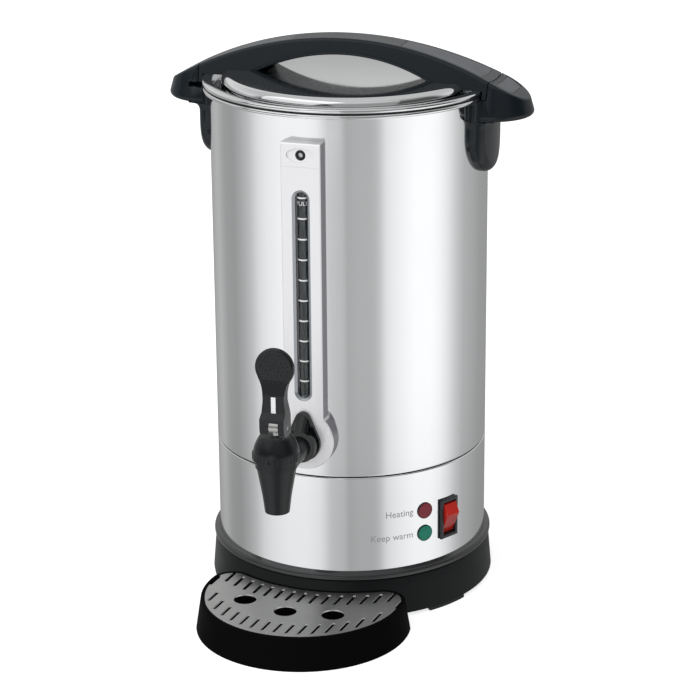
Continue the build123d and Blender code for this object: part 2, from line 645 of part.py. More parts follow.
def base_plate():
    top_z = PLATE_Z + PLATE_T
    plate = ring(0, skirt_inner_r(top_z) - PLATE_PLAY, PLATE_Z, top_z)
    for side in (-1, 1):
        for i in range(VENT_ROWS):
            y = (i - (VENT_ROWS - 1) / 2) * VENT_PITCH
            vent = Pos(side * VENT_OFFSET_X, y, 0) * SlotOverall(*VENT_SIZE)
            plate -= extrude(vent, BEYOND)
    for place in boss_places():
        plate -= place * ring(0, SCREW_R + FIT, 0, BEYOND)
    return plate


def base_screws():
    head = ring(0, SCREW_HEAD_R, PLATE_Z - FIT - SCREW_HEAD_H, PLATE_Z - FIT)
    shaft = ring(0, SCREW_R, PLATE_Z - SCREW_HEAD_H / 2, PLATE_Z + BASE_SCREW_L)
    return [place * (head + shaft) for place in boss_places()]


# ---- heater ----
def heater_plate():
    top = TANK_FLOOR_Z - FIT
    return ring(0, HEATER_R, top - HEATER_T, top)


def element(loop_r, tube_r, z_touch):
    """A tubular element: most of a circle, with two cold ends turned down."""
    half_gap = radians(ELEMENT_GAP_ANGLE / 2)
    z = z_touch - tube_r - FIT
    ends = [Vector(loop_r * sin(s * half_gap), loop_r * cos(s * half_gap), z) for s in (1, -1)]
    loop = ThreePointArc(ends[0], Vector(0, -loop_r, z), ends[1])
    tube = sweep(Plane(loop @ 0, z_dir=loop % 0) * Circle(tube_r), loop)
    for end in ends:
        tube += Pos(end.X, end.Y, z - COLD_END_L / 2) * Cylinder(tube_r, COLD_END_L)
        tube += Pos(*end) * Sphere(tube_r)
    return tube


def thermostat(heater_under):
    body = ring(0, THERMOSTAT_R, heater_under - FIT - THERMOSTAT_H, heater_under - FIT)
    body = fillet(body.edges().group_by(Axis.Z)[0], THERMOSTAT_H / 8)
    thick, wide, long = TAB
    under = heater_under - THERMOSTAT_H
    for x in (-THERMOSTAT_R / 2, THERMOSTAT_R / 2):
        body += block((x - thick / 2, x + thick / 2), (-wide / 2, wide / 2), (under - long, under))
    return body


def thermal_cutout(heater_under):
    w, d, h = CUTOUT_SIZE
    body = Pos(0, CUTOUT_Y, heater_under - FIT - h / 2) * Box(w, d, h)
    return fillet(body.edges().filter_by(Axis.Z), d / 6)


def terminal_block():
    w, d, h = TERMINAL_SIZE
    floor = PLATE_Z + PLATE_T + FIT
    body = Pos(0, TERMINAL_Y, floor + h / 2) * Box(w, d, h)
    pitch = w / TERMINAL_WAYS
    for i in range(TERMINAL_WAYS):
        x = (i - (TERMINAL_WAYS - 1) / 2) * pitch
        body -= along_y(TERMINAL_WIRE_R, TERMINAL_Y - d, TERMINAL_Y + d, x=x, z=floor + h / 3)
        body -= Pos(x, TERMINAL_Y, floor + h) * Cylinder(TERMINAL_SCREW_R, h / 2)
    return body


# ---- controls ----
def lamp(z):
    """A lens with a shallow dome, on the shell."""
    lens = Pos(0, 0, LAMP_PROUD / 2 + FIT) * Cylinder(LAMP_R, LAMP_PROUD)
    lens = fillet(lens.edges().group_by(Axis.Z)[-1], LAMP_PROUD * 0.5)
    return on_wall(LAMP_AZIMUTH, z) * lens


def lamp_socket(z):
    body = Pos(0, 0, -LAMP_BODY_L / 2) * Cylinder(LAMP_BODY_R, LAMP_BODY_L)
    nut = Pos(0, 0, -SHEET - GAP - LAMP_NUT_T / 2) * Cylinder(LAMP_BODY_R + LAMP_NUT_LAP, LAMP_NUT_T)
    return on_wall(LAMP_AZIMUTH, z) * (body + nut)


def switch_opening():
    return BEZEL_W - 2 * BEZEL_RIM, BEZEL_H - 2 * BEZEL_RIM


def switch_housing():
    open_w, open_h = switch_opening()
    flange = Pos(0, 0, BEZEL_T / 2 + FIT) * Box(BEZEL_W, BEZEL_H, BEZEL_T)
    flange = fillet(flange.edges().group_by(Axis.Z)[-1], BEZEL_EDGE_R)
    half_w, half_h = open_w / 2, open_h / 2
    body = block((-half_w - SWITCH_WALL, half_w + SWITCH_WALL), (-half_h - SWITCH_WALL, half_h + SWITCH_WALL),
                 (-SWITCH_DEPTH, BEZEL_T / 2))
    well = block((-half_w, half_w), (-half_h, half_h), (SWITCH_FLOOR - SWITCH_DEPTH, BEYOND))
    housing = flange + body - well
    thick, wide, long = TAB
    for y in (-open_h / 3, 0, open_h / 3):
        housing += block((-wide / 2, wide / 2), (y - thick / 2, y + thick / 2),
                         (-SWITCH_DEPTH - long, SWITCH_FLOOR / 2 - SWITCH_DEPTH))
    axle = Pos(0, 0, BEZEL_T - ROCKER_PIVOT_DEPTH) * Rot(0, 90, 0) * Cylinder(ROCKER_AXLE_R, open_w + SWITCH_WALL)
    return on_wall(SWITCH_AZIMUTH, SWITCH_Z) * (housing + axle)


def switch_rocker():
    """Red rocker, off: its lower end is pressed in. It turns about the axle in the housing."""
    open_w, open_h = switch_opening()
    pivot = BEZEL_T - ROCKER_PIVOT_DEPTH
    half_h = open_h / 2 - ROCKER_END_GAP
    foot = half_h - ROCKER_DEPTH / 2
    outline = make_face(Polyline((-half_h, ROCKER_END), (ROCKER_RIDGE_UP, ROCKER_RIDGE), (half_h, ROCKER_END),
                                 (foot, -ROCKER_DEPTH), (-foot, -ROCKER_DEPTH), close=True))
    rocker = extrude(Plane.YZ * outline, open_w / 2 - GAP, both=True)
    rocker = round_edges(rocker, ROCKER_RIDGE_ROUND,
                         lambda e: abs(e.center().Z - ROCKER_RIDGE) < 0.01 and abs(e.center().X) < 0.1)
    rocker -= Rot(0, 90, 0) * Cylinder(ROCKER_AXLE_R + RUN, BEZEL_W)
    return on_wall(SWITCH_AZIMUTH, SWITCH_Z) * Pos(0, 0, pivot) * Rot(ROCKER_SWING / 2, 0, 0) * rocker


def appliance_inlet():
    """A three-pin appliance inlet: flange, body and socket. Returns the body, the pins and the screws."""
    flange_w, flange_h, flange_t = INLET_FLANGE
    body_w, body_h = INLET_BODY
    socket_w, socket_h, socket_d = INLET_SOCKET
    front = flange_t + INLET_SEAT
    place = on_wall(180, INLET_Z)
    flange = Pos(0, 0, front / 2) * Box(flange_w, flange_h, front)
    inlet = place * fillet(flange.edges().filter_by(Axis.Z), INLET_CORNER)
    inlet -= ring(0, SHELL_R + FIT, 0, BEYOND)
    inlet += place * Pos(0, 0, flange_t - INLET_DEPTH / 2) * Box(body_w, body_h, INLET_DEPTH)
    socket = Pos(0, 0, front - socket_d / 2) * Box(socket_w, socket_h, socket_d)
    inlet -= place * chamfer(socket.edges().filter_by(Axis.Z).sort_by(Axis.Y)[-2:], INLET_KEY)
    pin_w, pin_t = INLET_PIN
    floor = front - socket_d
    pins = [place * Pos(x, y, floor + FIT + INLET_PIN_L / 2) * Box(pin_t, pin_w, INLET_PIN_L) for x, y in INLET_PIN_AT]
    screws = []
    for x in (-INLET_SCREW_X, INLET_SCREW_X):
        centre = place * Pos(x, 0, 0)
        inlet -= centre * Cylinder(SCREW_R + FIT, SHELL_R)
        head = Pos(0, 0, front + FIT + SCREW_HEAD_H / 2) * Cylinder(SCREW_HEAD_R, SCREW_HEAD_H)
        shaft = Pos(0, 0, (front - INLET_SCREW_IN) / 2) * Cylinder(SCREW_R, front + INLET_SCREW_IN + SCREW_HEAD_H / 2)
        screws.append(centre * (head + shaft))
    return inlet, pins, screws


# ---- gauge ----
def gauge_outline(inset=0.0):
    """Front view of the gauge housing: a bar with a round lower end, as a face in XZ."""
    bar_h = GAUGE_TOP_Z - GAUGE_END_Z
    bar = Pos(0, GAUGE_END_Z + bar_h / 2 - inset / 2) * Rectangle(2 * (GAUGE_HALF_W - inset), bar_h - inset)
    return Plane.XZ * (bar + Pos(0, GAUGE_END_Z) * Circle(GAUGE_END_R - inset))


def gauge_block(y_front, inset=0.0):
    """That outline, thick from the front face back to the tank's wall."""
    solid = extrude(gauge_outline(inset), -y_front)
    return solid - ring(0, SHELL_R + FIT, 0, BEYOND)


def gauge_slot(width, z_low, z_high):
    return Plane.XZ * Pos(0, (z_low + z_high) / 2) * Rot(0, 0, 90) * SlotOverall(z_high - z_low, width)


def gauge_housing():
    housing = gauge_block(GAUGE_FRONT_Y)
    front = housing.faces().sort_by(Axis.Y)[0]
    housing = chamfer(front.edges(), GAUGE_EDGE)
    inner_y = GAUGE_FRONT_Y + GAUGE_WALL
    cap_z = GAUGE_TOP_Z - CAP_H
    housing -= block((-CHANNEL_HALF_W, CHANNEL_HALF_W), (inner_y, 0), (SHANK_Z, cap_z + FIT))
    housing -= along_y(TEE_R + 2 * GAP, inner_y, 0, z=SHANK_Z)
    housing -= along_y(SHANK_R + RUN, -BEYOND, 0, z=SHANK_Z)
    housing -= extrude(Pos(0, inner_y + SHEET, 0) * gauge_slot(SLOT_W, *SLOT_Z), BEYOND)
    housing -= Pos(0, TUBE_AXIS_Y, 0) * ring(0, TUBE_R + FIT, TUBE_Z[0] - SEAL_COLLAR_H, cap_z + SLOT_BEVEL)
    bevel_top = gauge_slot(SLOT_W + 2 * SLOT_BEVEL, SLOT_Z[0] - SLOT_BEVEL, SLOT_Z[1] + SLOT_BEVEL)
    bevel_end = Pos(0, GAUGE_WALL * 0.75, 0) * gauge_slot(SLOT_W, *SLOT_Z)
    housing -= Pos(0, GAUGE_FRONT_Y, 0) * loft([bevel_top, bevel_end])
    return housing - block((-BEYOND, BEYOND), (-BEYOND, 0), (cap_z, BEYOND + GAUGE_TOP_Z))


def gauge_cap():
    """The top of the housing, a piece of its own, with its screw in a shallow oval recess."""
    cap = gauge_block(GAUGE_FRONT_Y)
    front = cap.faces().sort_by(Axis.Y)[0]
    cap = chamfer(front.edges(), GAUGE_EDGE)
    cap &= block((-BEYOND, BEYOND), (-BEYOND, 0), (GAUGE_TOP_Z - CAP_H + FIT, BEYOND + GAUGE_TOP_Z))
    recess_w, recess_h, recess_d = CAP_RECESS
    oval = Plane.XZ * Pos(0, GAUGE_SCREW_Z) * Ellipse(recess_w / 2, recess_h / 2)
    cap -= extrude(Pos(0, GAUGE_FRONT_Y + recess_d, 0) * oval, BEYOND)
    return cap - along_y(SCREW_R + FIT, -BEYOND, 0, z=GAUGE_SCREW_Z)


def gauge_screw():
    """The cap's screw goes through the tank's wall to a nut inside."""
    head_y = GAUGE_FRONT_Y + CAP_RECESS[2]
    head = along_y(GAUGE_HEAD_R, head_y - GAUGE_HEAD_T, head_y - FIT, z=GAUGE_SCREW_Z)
    return head + along_y(SCREW_R, head_y - GAUGE_HEAD_T / 2, -INNER_R + 2 * GAUGE_NUT_T, z=GAUGE_SCREW_Z)


def gauge_nut():
    y = -sqrt(INNER_R ** 2 - GAUGE_NUT_R ** 2) + FIT
    nut = Pos(0, y, 0) * extrude(Plane.XZ * Pos(0, GAUGE_SCREW_Z) * RegularPolygon(GAUGE_NUT_R, 6), -GAUGE_NUT_T)
    return nut - along_y(SCREW_R + FIT, -BEYOND, 0, z=GAUGE_SCREW_Z)


def gauge_tube():
    low, high = TUBE_Z
    return Pos(0, TUBE_AXIS_Y, 0) * ring(TUBE_BORE_R, TUBE_R, low, high)


def gauge_seals():
    """Silicone bushes in the tube's two ends: the lower sits on the tee's nipple, the upper is a vent."""
    low, high = TUBE_Z
    bush_r = TUBE_BORE_R - FIT
    lower = ring(NIPPLE_R + FIT, bush_r, low - SEAL_COLLAR_H, low + SEAL_H)
    lower += ring(NIPPLE_R + FIT, TUBE_R, low - SEAL_COLLAR_H, low - FIT)
    upper = ring(VENT_R, bush_r, high - SEAL_H, high + SEAL_COLLAR_H)
    upper += ring(VENT_R, TUBE_R, high + FIT, high + SEAL_COLLAR_H)
    return [Pos(0, TUBE_AXIS_Y, 0) * bush for bush in (lower, upper)]


def gauge_tee():
    """The ring on the tap's shank that feeds the sight tube through a nipple."""
    back = TAP_WALL_Y - TAP_GASKET_T - FIT
    front = GAUGE_FRONT_Y + GAUGE_WALL + FIT
    tee = along_y(TEE_R, front, back, z=SHANK_Z)
    nipple_top = TUBE_Z[0] + NIPPLE_IN_TUBE
    tee += Pos(0, TUBE_AXIS_Y, 0) * ring(0, NIPPLE_R, SHANK_Z + SHANK_R + 1, nipple_top)
    tee -= Pos(0, TUBE_AXIS_Y, 0) * ring(0, NIPPLE_BORE_R, SHANK_Z, BEYOND + nipple_top)
    return tee - along_y(SHANK_R + FIT, -BEYOND, 0, z=SHANK_Z)


# ---- tap ----
def tap_turned(*profile):
    """Revolves an outline of (radius, z) points about the tap's own upright axis."""
    return Pos(0, TAP_Y, 0) * turned(*profile)


def tap_body():
    collar_top = CONE_TOP_Z + COLLAR_H
    body = tap_turned((0, SPOUT_Z), (SPOUT_R, SPOUT_Z), (SPOUT_R + 1.5, SPOUT_Z + 12), (CONE_TOP_R, CONE_TOP_Z),
                      (COLLAR_R, CONE_TOP_Z), (COLLAR_R, collar_top), (NECK_R, collar_top),
                      (NECK_R, collar_top + NECK_H), (0, collar_top + NECK_H))
    body += along_y(SHANK_R, TAP_Y, -INNER_R + SHANK_IN, z=SHANK_Z)
    body -= tap_turned((0, CHAMBER_FLOOR_Z), (CHAMBER_R, CHAMBER_FLOOR_Z), (CHAMBER_R, collar_top + NECK_H + 1),
                       (0, collar_top + NECK_H + 1))
    body -= tap_turned((0, SPOUT_Z - 1), (SPOUT_BORE_R, SPOUT_Z - 1), (SPOUT_BORE_R, CHAMBER_FLOOR_Z - 4),
                       (SEAT_BORE_R, CHAMBER_FLOOR_Z - 2), (SEAT_BORE_R, CHAMBER_FLOOR_Z + 1),
                       (0, CHAMBER_FLOOR_Z + 1))
    body -= along_y(SHANK_BORE_R, TAP_Y + CHAMBER_R - 2, -INNER_R + SHANK_IN + 1, z=SHANK_Z)
    port_top = SHANK_Z + SHANK_R + 1
    return body - Pos(0, TUBE_AXIS_Y, 0) * ring(0, NIPPLE_BORE_R, SHANK_Z, port_top)


def teardrop(big_r, small_r, up):
    """A circle and a smaller one above it, joined by their common tangents, as a face in XZ."""
    lean = (big_r - small_r) / up
    c = sqrt(1 - lean ** 2)
    sides = Polyline((big_r * c, big_r * lean), (small_r * c, up + small_r * lean),
                     (-small_r * c, up + small_r * lean), (-big_r * c, big_r * lean), close=True)
    return Pos(0, SHANK_Z) * (Circle(big_r) + Pos(0, up) * Circle(small_r) + make_face(sides))


def tap_flange():
    """The boss between gauge and tap: a teardrop at the back that runs into a round collar."""
    back_y = GAUGE_FRONT_Y - FIT
    plate = extrude(Plane.XZ.offset(-back_y) * teardrop(FLANGE_R, LOBE_R, LOBE_UP), FLANGE_PLATE_T)
    middle = Plane.XZ.offset(-back_y + FLANGE_PLATE_T / 2)
    front = Plane.XZ.offset(-back_y + FLANGE_L)
    lobe = loft([middle * Pos(0, SHANK_Z + LOBE_UP) * Circle(LOBE_R - GAP),
                 front * Pos(0, SHANK_Z + FLANGE_FRONT_R - LOBE_R) * Circle(LOBE_R - 2 * GAP)])
    collar = Plane.XZ.offset(-back_y) * Pos(0, SHANK_Z) * Circle(FLANGE_FRONT_R)
    boss = plate + lobe + extrude(collar, FLANGE_L)
    return boss - along_y(SHANK_R + FIT, -BEYOND, 0, z=SHANK_Z)


def tap_gaskets():
    """Silicone rings each side of the tank's wall."""
    outer = along_y(TEE_R, TAP_WALL_Y - TAP_GASKET_T, TAP_WALL_Y, z=SHANK_Z)
    inner = along_y(NUT_R, TAP_INNER_Y, TAP_INNER_Y + TAP_GASKET_T, z=SHANK_Z)
    hole = along_y(SHANK_R + FIT, -BEYOND, 0, z=SHANK_Z)
    return [outer - hole, inner - hole]


def tap_nut():
    hexagon = Plane.XZ * Pos(0, SHANK_Z) * RegularPolygon(NUT_R, 6)
    nut = Pos(0, TAP_INNER_Y + TAP_GASKET_T + FIT, 0) * extrude(hexagon, -NUT_T)
    return nut - along_y(SHANK_R + FIT, -BEYOND, 0, z=SHANK_Z)


def tap_bonnet():
    """The cap that screws onto the tap's neck and guides the stem, with grip ribs round its skirt."""
    top_inner = BONNET_TOP_Z - BONNET_ROOF_T
    neck_top = CONE_TOP_Z + COLLAR_H + NECK_H + FIT
    outside = Polyline((NECK_R + FIT, BONNET_Z), (COLLAR_R + 0.3, BONNET_Z), (BONNET_MAX_R - 0.2, BONNET_Z + 3.0))
    dome = Spline((BONNET_MAX_R - 0.2, BONNET_Z + 3.0), (BONNET_MAX_R, BONNET_MAX_Z),
                  (BONNET_TOP_R + 2.9, BONNET_TOP_Z - 4.4), (BONNET_TOP_R + 0.4, BONNET_TOP_Z))
    inside = Polyline((BONNET_TOP_R + 0.4, BONNET_TOP_Z), (STEM_R + RUN, BONNET_TOP_Z), (STEM_R + RUN, top_inner),
                      (CHAMBER_R - 2, top_inner), (CHAMBER_R, top_inner - 2), (CHAMBER_R, neck_top),
                      (NECK_R + FIT, neck_top), (NECK_R + FIT, BONNET_Z))
    bonnet = revolve(make_face(Plane.XZ * (outside + dome + inside)), Axis.Z)
    rib = Pos(0, -BONNET_MAX_R, BONNET_Z + RIB_UP + RIB_H / 2) * Box(RIB_W, 2 * RIB_W, RIB_H)
    for i in range(BONNET_RIBS):
        bonnet += Rot(0, 0, i * 360 / BONNET_RIBS) * rib
    return Pos(0, TAP_Y, 0) * bonnet


def tap_stem():
    """The rod from the seat cup to the lever's pin."""
    flange_z = CHAMBER_FLOOR_Z + FIT + CUP_T
    rod = ring(0, STEM_R, flange_z - STEM_IN_CUP, PIVOT_Z)
    rod += ring(0, STEM_FLANGE_R, flange_z + FIT, flange_z + FIT + STEM_FLANGE_T)
    rod += along_x(STEM_EYE_R, -FORK_HALF_W + GAP, FORK_HALF_W - GAP, z=PIVOT_Z)
    rod -= along_x(PIN_R + FIT, -FORK_HALF_W, FORK_HALF_W, z=PIVOT_Z)
    return Pos(0, TAP_Y, 0) * rod


def seat_cup():
    floor = CHAMBER_FLOOR_Z + FIT
    cup = ring(0, CUP_R, floor, floor + CUP_T)
    cup = chamfer(cup.edges().group_by(Axis.Z)[-1], CUP_T / 3)
    return Pos(0, TAP_Y, 0) * (cup - ring(0, STEM_R + FIT, floor + CUP_T - STEM_IN_CUP - 2 * FIT, BEYOND))


def pivot_pin():
    return along_x(PIN_R, -LEVER_HALF_W + PIN_END, LEVER_HALF_W - PIN_END, y=TAP_Y, z=PIVOT_Z)


def tap_spring():
    low = CHAMBER_FLOOR_Z + 2 * FIT + CUP_T + STEM_FLANGE_T
    high = BONNET_TOP_Z - BONNET_ROOF_T
    height = high - low - 2 * SPRING_WIRE_R - 2 * FIT
    coil_r = STEM_FLANGE_R - SPRING_WIRE_R
    path = Helix(height / SPRING_TURNS, height, coil_r)
    wire = sweep(Plane(path @ 0, z_dir=path % 0) * Circle(SPRING_WIRE_R), path, is_frenet=True)
    return Pos(0, TAP_Y, low + SPRING_WIRE_R + FIT) * wire


def cam_foot():
    """The lever's foot ahead of the pivot: an involute, so the stem rises in step with the swing.

    Points are (y, z) from the pivot. A support distance that grows evenly with the angle is what
    makes the rise even.
    """
    points = []
    for i in range(7):
        a = radians(LEVER_SWING) * i / 6
        support = PIVOT_ABOVE_BONNET - GAP + CAM_LIFT * a
        points.append((-support * sin(a) - CAM_LIFT * cos(a), -support * cos(a) + CAM_LIFT * sin(a)))
    return points


def tap_lever():
    """Paddle, neck and fork in one moulding, with the cam foot that rides on the bonnet."""
    foot = cam_foot()
    block_top = LEVER_BLOCK_H - PIVOT_ABOVE_BONNET
    neck = LEVER_NECK_UP - PIVOT_ABOVE_BONNET
    paddle = PADDLE_UP - PIVOT_ABOVE_BONNET
    half_t = PADDLE_T / 2
    base_z = -PIVOT_ABOVE_BONNET + GAP
    front_y = foot[-1][0] - 0.4
    side = Spline(*foot) + Polyline(foot[-1], (front_y, foot[-1][1] + 3), (front_y, block_top),
                                    (-LEVER_NECK_FRONT, block_top + 4), (-LEVER_NECK_FRONT, neck + 4),
                                    (-half_t, paddle - 8), (-half_t, paddle), (half_t, paddle), (half_t, paddle - 8),
                                    (LEVER_NECK_BACK, neck), (LEVER_BACK, block_top), (LEVER_BACK, base_z), foot[0])
    profile = extrude(make_face(Plane.YZ * side), 2 * PADDLE_R, both=True)
    w, n = LEVER_HALF_W, LEVER_NECK_HALF_W
    half = Polyline((0, base_z - 1), (w, base_z - 1), (w, block_top))
    flank = Spline((w, block_top), (n, neck), (PADDLE_R - 2.2, paddle - 7.2), tangents=((0, 1), (0.75, 1)))
    close = Polyline((PADDLE_R - 2.2, paddle - 7.2), (0, paddle), (0, base_z - 1))
    right = make_face(half + flank + close)
    front = right + mirror(right, Plane.YZ)
    lever = profile & extrude(Plane.XZ * front, 60, both=True)
    disc = along_y(PADDLE_R, -half_t, half_t, z=paddle)
    lever += fillet([e for e in disc.edges() if e.geom_type == GeomType.CIRCLE], PADDLE_ROUND)
    lever -= block((-FORK_HALF_W, FORK_HALF_W), (-40, 40), (base_z - 3, FORK_H - PIVOT_ABOVE_BONNET))
    lever -= along_x(PIN_R + RUN, -PADDLE_R, PADDLE_R)
    lever -= marker_block(0.0)
    return Pos(0, TAP_Y, PIVOT_Z) * lever


def marker_block(shrink):
    """The white mark let into the neck's front, in the lever's own frame."""
    w, h, t = MARKER_SIZE
    z = MARKER_UP - PIVOT_ABOVE_BONNET
    return block((-w / 2 + shrink, w / 2 - shrink), (-LEVER_NECK_FRONT - 0.01, -LEVER_NECK_FRONT + t - shrink),
                 (z - h / 2 + shrink, z + h / 2 - shrink))


def lever_marker():
    return Pos(0, TAP_Y, PIVOT_Z) * marker_block(FIT)


# ---- drip tray ----
def tray_outline(radius, back_r, corner):
    """Half moon: a round front, hollowed at the back to follow the base."""
    moon = Pos(0, TRAY_CENTRE_Y) * Circle(radius) - Circle(back_r)
    corners = [v for v in moon.vertices() if v.Y > TRAY_CENTRE_Y + 5]
    return fillet(corners, corner)


def drip_tray():
    body = loft([tray_outline(TRAY_R_FOOT, TRAY_BACK_R, TRAY_CORNER_R),
                 Pos(0, 0, TRAY_H) * tray_outline(TRAY_R_TOP, TRAY_BACK_R, TRAY_CORNER_R)])
    body = fillet(body.edges().group_by(Axis.Z)[-1], TRAY_EDGE_R)
    ledge_z = TRAY_H - GRATE_DROP - GRATE_T - FIT
    rim = TRAY_WALL + LEDGE_W
    mouth = tray_outline(TRAY_R_TOP - TRAY_WALL, TRAY_BACK_R + TRAY_WALL, TRAY_CORNER_R - TRAY_WALL)
    basin = tray_outline(TRAY_R_TOP - rim, TRAY_BACK_R + rim, TRAY_CORNER_R - rim)
    body -= extrude(Pos(0, 0, ledge_z) * mouth, TRAY_H)
    return body - extrude(Pos(0, 0, TRAY_FLOOR) * basin, TRAY_H)


def grate_slots(edge_r, back_r):
    """Leaning slots: a row along the back edge and rows that fill the front, clear of the holes."""
    lean = tan(radians(GRATE_SLOT_LEAN))
    shortest, longest = GRATE_SLOT_L
    slots = []
    count = int(edge_r / GRATE_SLOT_PITCH)
    for i in range(-count, count + 1):
        x = i * GRATE_SLOT_PITCH
        back_y = -sqrt(back_r ** 2 - x ** 2) - GRATE_BACK_MARGIN
        front_y = TRAY_CENTRE_Y - sqrt(edge_r ** 2 - x ** 2) + GRATE_FRONT_MARGIN
        stretches = [(max(back_y - longest, front_y), back_y), (front_y, min(front_y + longest, back_y))]
        for low, high in stretches:
            for hole_x, hole_y in GRATE_HOLES:
                hole_y += TRAY_CENTRE_Y
                reach = GRATE_HOLE_R + GRATE_HOLE_MARGIN
                if abs(x - hole_x) < reach:
                    half = sqrt(reach ** 2 - (x - hole_x) ** 2)
                    if low < hole_y + half < high:
                        low = hole_y + half
                    elif low < hole_y - half < high:
                        high = hole_y - half
            if high - low >= shortest and (low, high) != (front_y, back_y):
                slot = Rot(0, 0, 90 - GRATE_SLOT_LEAN) * SlotOverall(high - low, GRATE_SLOT_W)
                slots.append(Pos(x + lean * (high - low) / 2, (low + high) / 2) * slot)
    return slots


def drip_grate():
    edge_r = TRAY_R_TOP - TRAY_WALL - GAP
    back_r = TRAY_BACK_R + TRAY_WALL + GAP
    outline = tray_outline(edge_r, back_r, TRAY_CORNER_R - TRAY_WALL - GAP)
    for x, y in GRATE_HOLES:
        outline -= Pos(x, TRAY_CENTRE_Y + y) * Circle(GRATE_HOLE_R)
    for slot in grate_slots(edge_r, back_r):
        outline -= slot
    return extrude(Pos(0, 0, TRAY_H - GRATE_DROP - GRATE_T) * outline, GRATE_T)


# ---- everything ----
def main():
    export("tank", tank())
    export("lower_shell", lower_shell())
    export("base_ring", base_ring())
    export("base_skirt", base_skirt())
    export("base_plate", base_plate())
    export("base_screws", *base_screws())
    export("base_feet", *base_feet())

    heater = heater_plate()
    heater_under = TANK_FLOOR_Z - FIT - HEATER_T
    export("heater_plate", heater)
    export("heating_element", element(ELEMENT_LOOP_R, ELEMENT_R, heater_under))
    export("keep_warm_element", element(KEEP_WARM_LOOP_R, KEEP_WARM_R, heater_under))
    export("thermostat", thermostat(heater_under))
    export("thermal_cutout", thermal_cutout(heater_under))
    export("terminal_block", terminal_block())

    export("heating_lamp", lamp(LAMP_Z[0]))
    export("keep_warm_lamp", lamp(LAMP_Z[1]))
    export("lamp_sockets", *[lamp_socket(z) for z in LAMP_Z])
    export("switch_housing", switch_housing())
    export("switch_rocker", switch_rocker())
    inlet, pins, inlet_screws = appliance_inlet()
    export("appliance_inlet", inlet)
    export("inlet_pins", *pins)
    export("inlet_screws", *inlet_screws)

    export("lid_pan", lid_pan())
    export("lid_seal", lid_seal())
    export("lid_handle", lid_handle(handle_stock()))
    panel = lid_inlay(INLAY_GROOVE)
    export("lid_handle_inlays", panel, half_turn(panel))
    export("lid_screws", *lid_screws())
    right, left = side_handles()
    export("right_side_handle", right)
    export("left_side_handle", left)
    panel = wing_inlay(INLAY_GROOVE)
    export("side_handle_inlays", panel, half_turn(panel))
    screws, washers = side_screws()
    export("side_handle_screws", *screws)
    export("side_handle_washers", *washers)

    export("gauge_housing", gauge_housing())
    export("gauge_cap", gauge_cap())
    export("gauge_screw", gauge_screw())
    export("gauge_nut", gauge_nut())
    export("gauge_tube", gauge_tube())
    export("gauge_seals", *gauge_seals())
    export("gauge_tee", gauge_tee())

    export("tap_body", tap_body())
    export("tap_flange", tap_flange())
    export("tap_gaskets", *tap_gaskets())
    export("tap_nut", tap_nut())
    export("tap_bonnet", tap_bonnet())
    export("tap_stem", tap_stem())
    export("seat_cup", seat_cup())
    export("tap_spring", tap_spring())
    export("pivot_pin", pivot_pin())
    export("tap_lever", tap_lever())
    export("lever_marker", lever_marker())

    export("drip_tray", drip_tray())
    export("drip_grate", drip_grate())


main()
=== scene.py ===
"""Hot water urn: its studio, its finishes and its dressed pieces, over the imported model.

Metres in Blender, with outlines written in millimetres as a maker's drawing has them. +Z is up, the worktop
is z = 0 and the tank's axis is the Z axis. The tap and the gauge face -Y and the handles lie along X. An
azimuth is measured from the front (-Y) towards +X. Lengths are in mm and angles in degrees, except in the
studio, whose places and sizes are in metres.
"""
from __future__ import annotations

import json
import logging
import math
from collections.abc import Callable, Iterable, Sequence
from dataclasses import dataclass, field
from enum import Enum

import bmesh
import bpy
from bmesh.types import BMesh, BMFace
from bpy.types import Material, Node, NodeSocket, NodeTree, Object
from mathutils import Matrix, Vector

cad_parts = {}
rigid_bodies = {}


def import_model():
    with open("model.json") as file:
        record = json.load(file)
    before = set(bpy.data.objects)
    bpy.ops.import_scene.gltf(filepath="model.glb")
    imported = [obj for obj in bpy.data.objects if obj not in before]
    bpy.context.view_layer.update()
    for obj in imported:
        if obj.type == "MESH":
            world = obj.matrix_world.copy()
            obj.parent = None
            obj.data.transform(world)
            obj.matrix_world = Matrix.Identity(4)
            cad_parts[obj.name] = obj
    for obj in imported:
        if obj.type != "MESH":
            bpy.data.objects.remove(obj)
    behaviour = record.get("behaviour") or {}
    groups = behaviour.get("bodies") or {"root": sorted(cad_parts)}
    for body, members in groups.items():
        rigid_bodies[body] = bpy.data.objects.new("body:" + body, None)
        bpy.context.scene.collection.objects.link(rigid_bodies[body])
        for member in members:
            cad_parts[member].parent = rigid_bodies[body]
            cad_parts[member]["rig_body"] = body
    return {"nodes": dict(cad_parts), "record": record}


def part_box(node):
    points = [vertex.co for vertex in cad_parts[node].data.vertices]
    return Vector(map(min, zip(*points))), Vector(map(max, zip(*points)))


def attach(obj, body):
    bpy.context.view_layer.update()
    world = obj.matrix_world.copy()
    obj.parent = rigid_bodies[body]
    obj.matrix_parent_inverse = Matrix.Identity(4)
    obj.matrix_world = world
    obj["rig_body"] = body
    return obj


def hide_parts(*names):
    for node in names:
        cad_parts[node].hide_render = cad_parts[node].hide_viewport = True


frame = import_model()
log = logging.getLogger("urn")

MM = 0.001
NODES: dict[str, Object] = frame["nodes"]
SHELL_R = 102.5                                  # outside of the tank and the lower shell
CAP_SCREW_Z = 355.3                              # the screw that holds the gauge's cap
LAMP_AZIMUTH = 49.5
LAMP_Z = (80.0, 62.0)
WALL_PITCH = 12.0                                # longest facet up a straight wall
SMOOTH_BELOW = 36.0                              # edges that turn less are shaded smooth
HARD_ABOVE = 40.0                                # edges that turn more are softened
UPRIGHT = Matrix.Rotation(math.pi / 2, 4, "X")   # stands a piece up, so that its Z points at -Y


